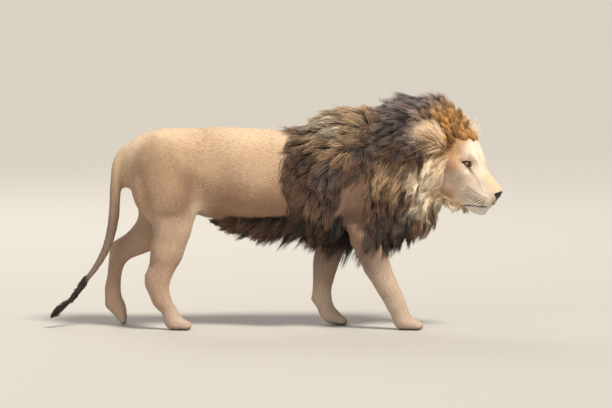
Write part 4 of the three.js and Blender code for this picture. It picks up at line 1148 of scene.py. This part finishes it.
def growLocks(title, roots, normals, places, seed, room):
    luck = np.random.default_rng(seed)
    count = len(roots)
    guide = combed(roots)
    way = unit(guide[:, :3])
    lengths = guide[:, 3] / 1000
    lift, hang = guide[:, 4], guide[:, 5]
    rootTint, tipTint = guide[:, 6:9], guide[:, 9:12]
    clumps = luck.choice(count, max(2, count // maneReach["clump"]), replace=False)
    finder = KDTree(len(clumps))
    for i, c in enumerate(clumps):
        finder.insert(roots[c], i)
    finder.balance()
    near = np.array([finder.find(r)[1] for r in roots])
    clumpLength = luck.uniform(0.78, 1.18, len(clumps))[near]
    # Each clump is lighter or darker at random, partly the mane's own streaks and partly painted light and shade
    # between clumps; some are darkened further as painted shade.
    clumpLight = luck.uniform(0.66, 1.34, len(clumps))
    clumpLight[luck.uniform(0, 1, len(clumps)) < maneReach["shadowClumps"]] *= 0.45
    clumpLight = clumpLight[near]
    clumpLift = luck.uniform(0.55, 1.25, len(clumps))[near]
    clumpTurn = luck.normal(0, 0.24, (len(clumps), 3))[near]
    lengths = lengths * clumpLength * luck.uniform(0.72, 1.12, count)
    layer = luck.uniform(0.25, 1.0, count)
    steps = maneReach["steps"]
    paths = np.empty((count, steps, 3))
    paths[:, 0] = roots - normals * 0.003
    here, up = roots.copy(), normals.copy()
    heading = unit(way + clumpTurn + luck.normal(0, 0.08, (count, 3)))
    for k in range(1, steps):
        t = k / (steps - 1)
        flat = unit(heading - (heading * up).sum(1, keepdims=True) * up * (1 - hang[:, None]))
        here = here + flat * (lengths / (steps - 1))[:, None]
        base, baseUp = ontoSkin(here)
        off = ((here - base) * baseUp).sum(1)
        rise = room * lift * clumpLift * layer * (0.35 + 0.65 * t) * min(1, 2.2 * t)
        lying = base + baseUp * rise[:, None]
        keep = np.maximum(hang, step(0.05, 0.12, np.abs(off)))[:, None]
        free = np.where(off[:, None] < 0.004, base + baseUp * 0.006, here)
        here = keep * free + (1 - keep) * lying
        up = unit(up * 0.4 + baseUp * 0.6)
        newWay = unit(combed(here)[:, :3]) if k in (2, 3) else heading
        heading = unit(heading * 0.55 + newWay * 0.45 + np.array([0, 0, -0.10]) * hang[:, None])
        paths[:, k] = here
    pull = maneReach["pull"]
    leader = clumps[near]
    for k in range(1, steps):
        share = pull * (k / (steps - 1)) ** 1.2
        paths[:, k] += share * (paths[leader, k] - paths[:, k]) * step(0.14, 0.05, np.linalg.norm(paths[leader, k] - paths[:, k], axis=1))[:, None]
    bend = luck.normal(0, 0.004, (count, 3))
    t = np.linspace(0, 1, steps)
    paths += bend[:, None] * np.sin(np.pi * t * 1.6)[None, :, None]
    # Tips take the clump's painted light and shade in full, roots take part of it.
    light = (clumpLight * luck.uniform(0.82, 1.18, count))[:, None]
    tips = tipTint * light
    roots2 = rootTint * (0.6 + 0.4 * light)
    widths = maneReach["width"] / 1000 * luck.uniform(0.6, 1.25, count)
    return strands(title, paths, normals, widths, roots2, tips, places, maneHair)


def maneWhere():
    x, z = skinMm[:, 0], skinMm[:, 2]
    headward = skinHead[:, 0] > -215
    low = z < 585
    return {
        "mane_crown": headward & (skinHead[:, 2] > 40),
        "mane_ruff": headward & (skinHead[:, 2] <= 40),
        "mane_neck_side": ~headward & (x > 410) & (z > 820),
        "mane_throat": ~headward & (x > 410) & (z <= 820),
        "mane_shoulders": ~headward & (x <= 410) & ~low & (x > -800),
        "belly_locks": ~headward & (x <= 410) & low & (x > -800),
        "tail_locks": x < -1000,
    }


manePieces = {  # count of locks and the CAD nodes each stands for
    "mane_crown": (6800, ["mane_head"]), "mane_ruff": (7400, ["beard"]), "mane_neck_side": (7400, ["mane_neck"]),
    "mane_throat": (7200, ["mane_breast"]), "mane_shoulders": (7400, []), "belly_locks": (4800, ["belly_fringe"]),
    "tail_locks": (800, ["tail_tuft"]),
}
for number, (title, where) in enumerate(maneWhere().items()):
    count, nodes = manePieces[title]
    roots, normals, places = rootsOn(maneShare * where, count)
    piece = growLocks(title, roots, normals, places, 40 + number, maneRoom.get(title, maneReach["thick"]))
    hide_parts(*nodes)
    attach(piece, "root")
    print(title, "grown,", len(piece.data.polygons), "faces")


# ---- short coat: tufts that lie along the skin

tuftPlan = {  # count, length and width in mm, height of the tip
    "coat_trunk": (17000, 26, 2.2, 0.25), "coat_limbs": (15000, 15, 1.7, 0.22), "coat_face": (15000, 8, 1.1, 0.15),
}


def tuftWhere():
    p = skinHead
    q, r, across, high = lidRing(p)
    face = (p[:, 0] > -78) & (skinMm[:, 2] > 560) & (skinMm[:, 0] > 700)
    openSkin = 1 - maneShare
    leather = (np.abs(p[:, 1]) < noseWidth(p) + 3) & (p[:, 0] > 160)
    lips = np.abs(p[:, 2] - lipHeight(p)) < 4
    faceShare = face * openSkin * ~((q < 1.28) & (r < 40)) * ~leather * ~(lips & (p[:, 0] > 0))
    limb = ((skinMm[:, 2] < 560) | (skinMm[:, 0] < -880)) & ~face
    sole = skinPoints[:, 2] < 0.012
    return {
        "coat_trunk": openSkin * ~face * ~limb,
        "coat_limbs": openSkin * limb * ~sole,
        "coat_face": faceShare,
    }


def growTufts(title, share, plan, seed):
    count, length, width, rise = plan
    luck = np.random.default_rng(seed)
    roots, normals, places = rootsOn(share, count)
    way = lieOfCoat(roots) + luck.normal(0, 0.10, (count, 3))
    way = unit(way - (way * normals).sum(1, keepdims=True) * normals)
    lengths = length / 1000 * luck.uniform(0.6, 1.25, count)
    if title == "coat_face":
        p = toHead(roots)
        lengths *= 0.55 + 0.75 * step(150, -60, p[:, 0])
    middle, middleUp = ontoSkin(roots + way * (lengths * 0.55)[:, None])
    tip, tipUp = ontoSkin(roots + way * lengths[:, None])
    tall = rise / 1000 * luck.uniform(0.4, 1.3, count)
    paths = np.stack([
        roots - normals * 0.0012,
        middle + middleUp * (tall * 0.8)[:, None],
        tip + tipUp * tall[:, None],
    ], axis=1)
    tints = markingsAndShade(roots) * luck.uniform(0.92, 1.10, count)[:, None]
    widths = width / 1000 * luck.uniform(0.6, 1.2, count)
    piece = strands(title, paths, normals, widths, tints * 0.98, np.clip(tints * 1.06, 0, 1), places, shortHair, flat=0.3)
    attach(piece, "root")
    print(title, "grown,", len(piece.data.polygons), "faces")


for number, (title, share) in enumerate(tuftWhere().items()):
    growTufts(title, share.astype(float), tuftPlan[title], 70 + number)


# ---- ears: a round cup with a dark back, and long pale hair that fans out of it

earPlan = {"voxel": 0.0028, "locks": 1700, "fan": 132, "width": 2.8, "root": (-132, 142, 60),
           "turns": {-1: (-0.8, 1.45), 1: (-0.5, 2.2)}, "out": {-1: (0.45, 1.2), 1: (0.3, 1.3)}}


def makeEar(node, side, seed):
    low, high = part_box(node)
    ear = copyNodes([node], node.replace("ear", "ear_shell"))
    remesh(ear, earPlan["voxel"])
    setPoints(ear, relax(edgesOf(ear), pointsOf(ear), 6))
    points = pointsOf(ear)
    backward = step(0.1, -0.35, normalsOf(ear) @ headX)[:, None] * 0.8
    paint(ear, np.clip(tone("earFront") + backward * (tone("earBack") - tone("earFront")), 0, 1))
    onlySelect(ear)
    bpy.ops.object.shade_smooth()
    ear.data.materials.append(hide)
    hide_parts(node)
    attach(ear, "root")
    luck = np.random.default_rng(seed)
    count = earPlan["locks"]
    first, last = earPlan["turns"][side]
    angle = luck.uniform(first, last, count)
    out = luck.uniform(*earPlan["out"][side], count)
    spot = np.array(earPlan["root"]) * (1, side, 1)
    roots = spot + luck.normal(0, 1, (count, 3)) * (13, 7, 17) - np.array([0, side * 14, 0])
    way = np.column_stack([-np.cos(angle), side * out, np.sin(angle)])
    lengths = earPlan["fan"] * luck.uniform(0.55, 1.12, count) * (0.82 + 0.18 * np.cos(angle - 0.5))
    t = np.linspace(0, 1, 5)
    droop = np.array([-0.10, 0.0, -0.16])
    paths = roots[:, None] + lengths[:, None, None] * (way[:, None] * t[None, :, None] + droop * (t ** 2)[None, :, None])
    sheaf = luck.integers(0, 34, count)
    sheafAngle = np.linspace(first, last, 34)[sheaf]
    leader = spot + np.array([0, 0, 0]) + lengths[:, None] * np.column_stack([-np.cos(sheafAngle), side * 0.55 + 0 * sheafAngle, np.sin(sheafAngle)])
    near = np.abs(sheafAngle - angle) < 0.12
    paths[near] += (0.45 * (t ** 1.5)[None, :, None]) * (leader[near][:, None] - paths[near][:, -1:])
    paths = fromHead(paths.reshape(-1, 3)).reshape(paths.shape)
    base, up = ontoSkin(paths[:, 0])
    ups = np.tile((np.array([0.2, side * 1.0, 0.15]) @ headAxes), (count, 1))
    light = luck.uniform(0.85, 1.2, count)[:, None]
    inner = (luck.uniform(0, 1, count) < 0.3)[:, None]
    rootTint = np.where(inner, toneOf("amber"), toneOf("pale")) * light
    tipTint = np.where(inner, toneOf("gold"), toneOf("cream")) * light
    face = np.array([skinTree.find_nearest(Vector(r))[2] for r in paths[:, 0]])
    places = flatMap[face].mean(1)
    hair = strands(node.replace("ear", "ear_hair"), paths, ups, earPlan["width"] / 1000 * luck.uniform(0.6, 1.2, count),
                   rootTint, tipTint, places, maneHair)
    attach(hair, "root")


makeEar("ear_right", -1, 91)
makeEar("ear_left", 1, 92)
print("ears made")


# ---- whiskers: stiff white hairs in rows on the pads

whiskerPlan = {"rows": 4, "each": 5, "length": 105, "width": 1.1}


def makeWhiskers():
    luck = np.random.default_rng(5)
    roots, ways, lengths = [], [], []
    for side in (-1, 1):
        for row in range(whiskerPlan["rows"]):
            for place in range(whiskerPlan["each"]):
                x = 104 + 12 * place
                z = -124 - 13 * row - 0.20 * (x - 130)
                roots.append(fromHead((x, side * 62, z)))
                ways.append(np.array([-0.35 + 0.10 * place, side * 1.0, -0.10 - 0.14 * row]) @ headAxes)
                lengths.append(whiskerPlan["length"] * luck.uniform(0.55, 1.1) * (1 - 0.08 * place))
    roots, ways = np.array(roots), unit(np.array(ways))
    base, up = ontoSkin(roots)
    t = np.linspace(0, 1, 6)
    sweep = np.array([-0.45, 0, -0.30]) @ headAxes
    lengths = np.array(lengths) / 1000
    paths = base[:, None] - up[:, None] * 0.002 + lengths[:, None, None] * (ways[:, None] * t[None, :, None] + sweep * (t ** 2)[None, :, None])
    face = np.array([skinTree.find_nearest(Vector(r))[2] for r in base])
    count = len(base)
    white = np.tile(tone("white"), (count, 1))
    piece = strands("whiskers", paths, up, np.full(count, whiskerPlan["width"] / 1000), white, white, flatMap[face].mean(1), whiskerHair, flat=0.9, point=0.1)
    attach(piece, "root")


whiskerHair, whiskerTree, whiskerShader = material("whisker, stiff white hair", {"Roughness": 0.35})
mark = add(whiskerTree, "ShaderNodeAttribute", {"attribute_name": "markingsAndShade"})
whiskerTree.links.new(mark.outputs["Color"], whiskerShader.inputs["Base Color"])
makeWhiskers()
print("whiskers made")


# ---- the skin takes its finish and the scene is closed

skin.data.materials.clear()
skin.data.materials.append(hide)
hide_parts(*fleshNodes)
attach(skin, "root")
import json
total = sum(len(o.data.loop_triangles) if o.data.calc_loop_triangles() is None else 0 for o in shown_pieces())
print("whole model", total, "triangles")
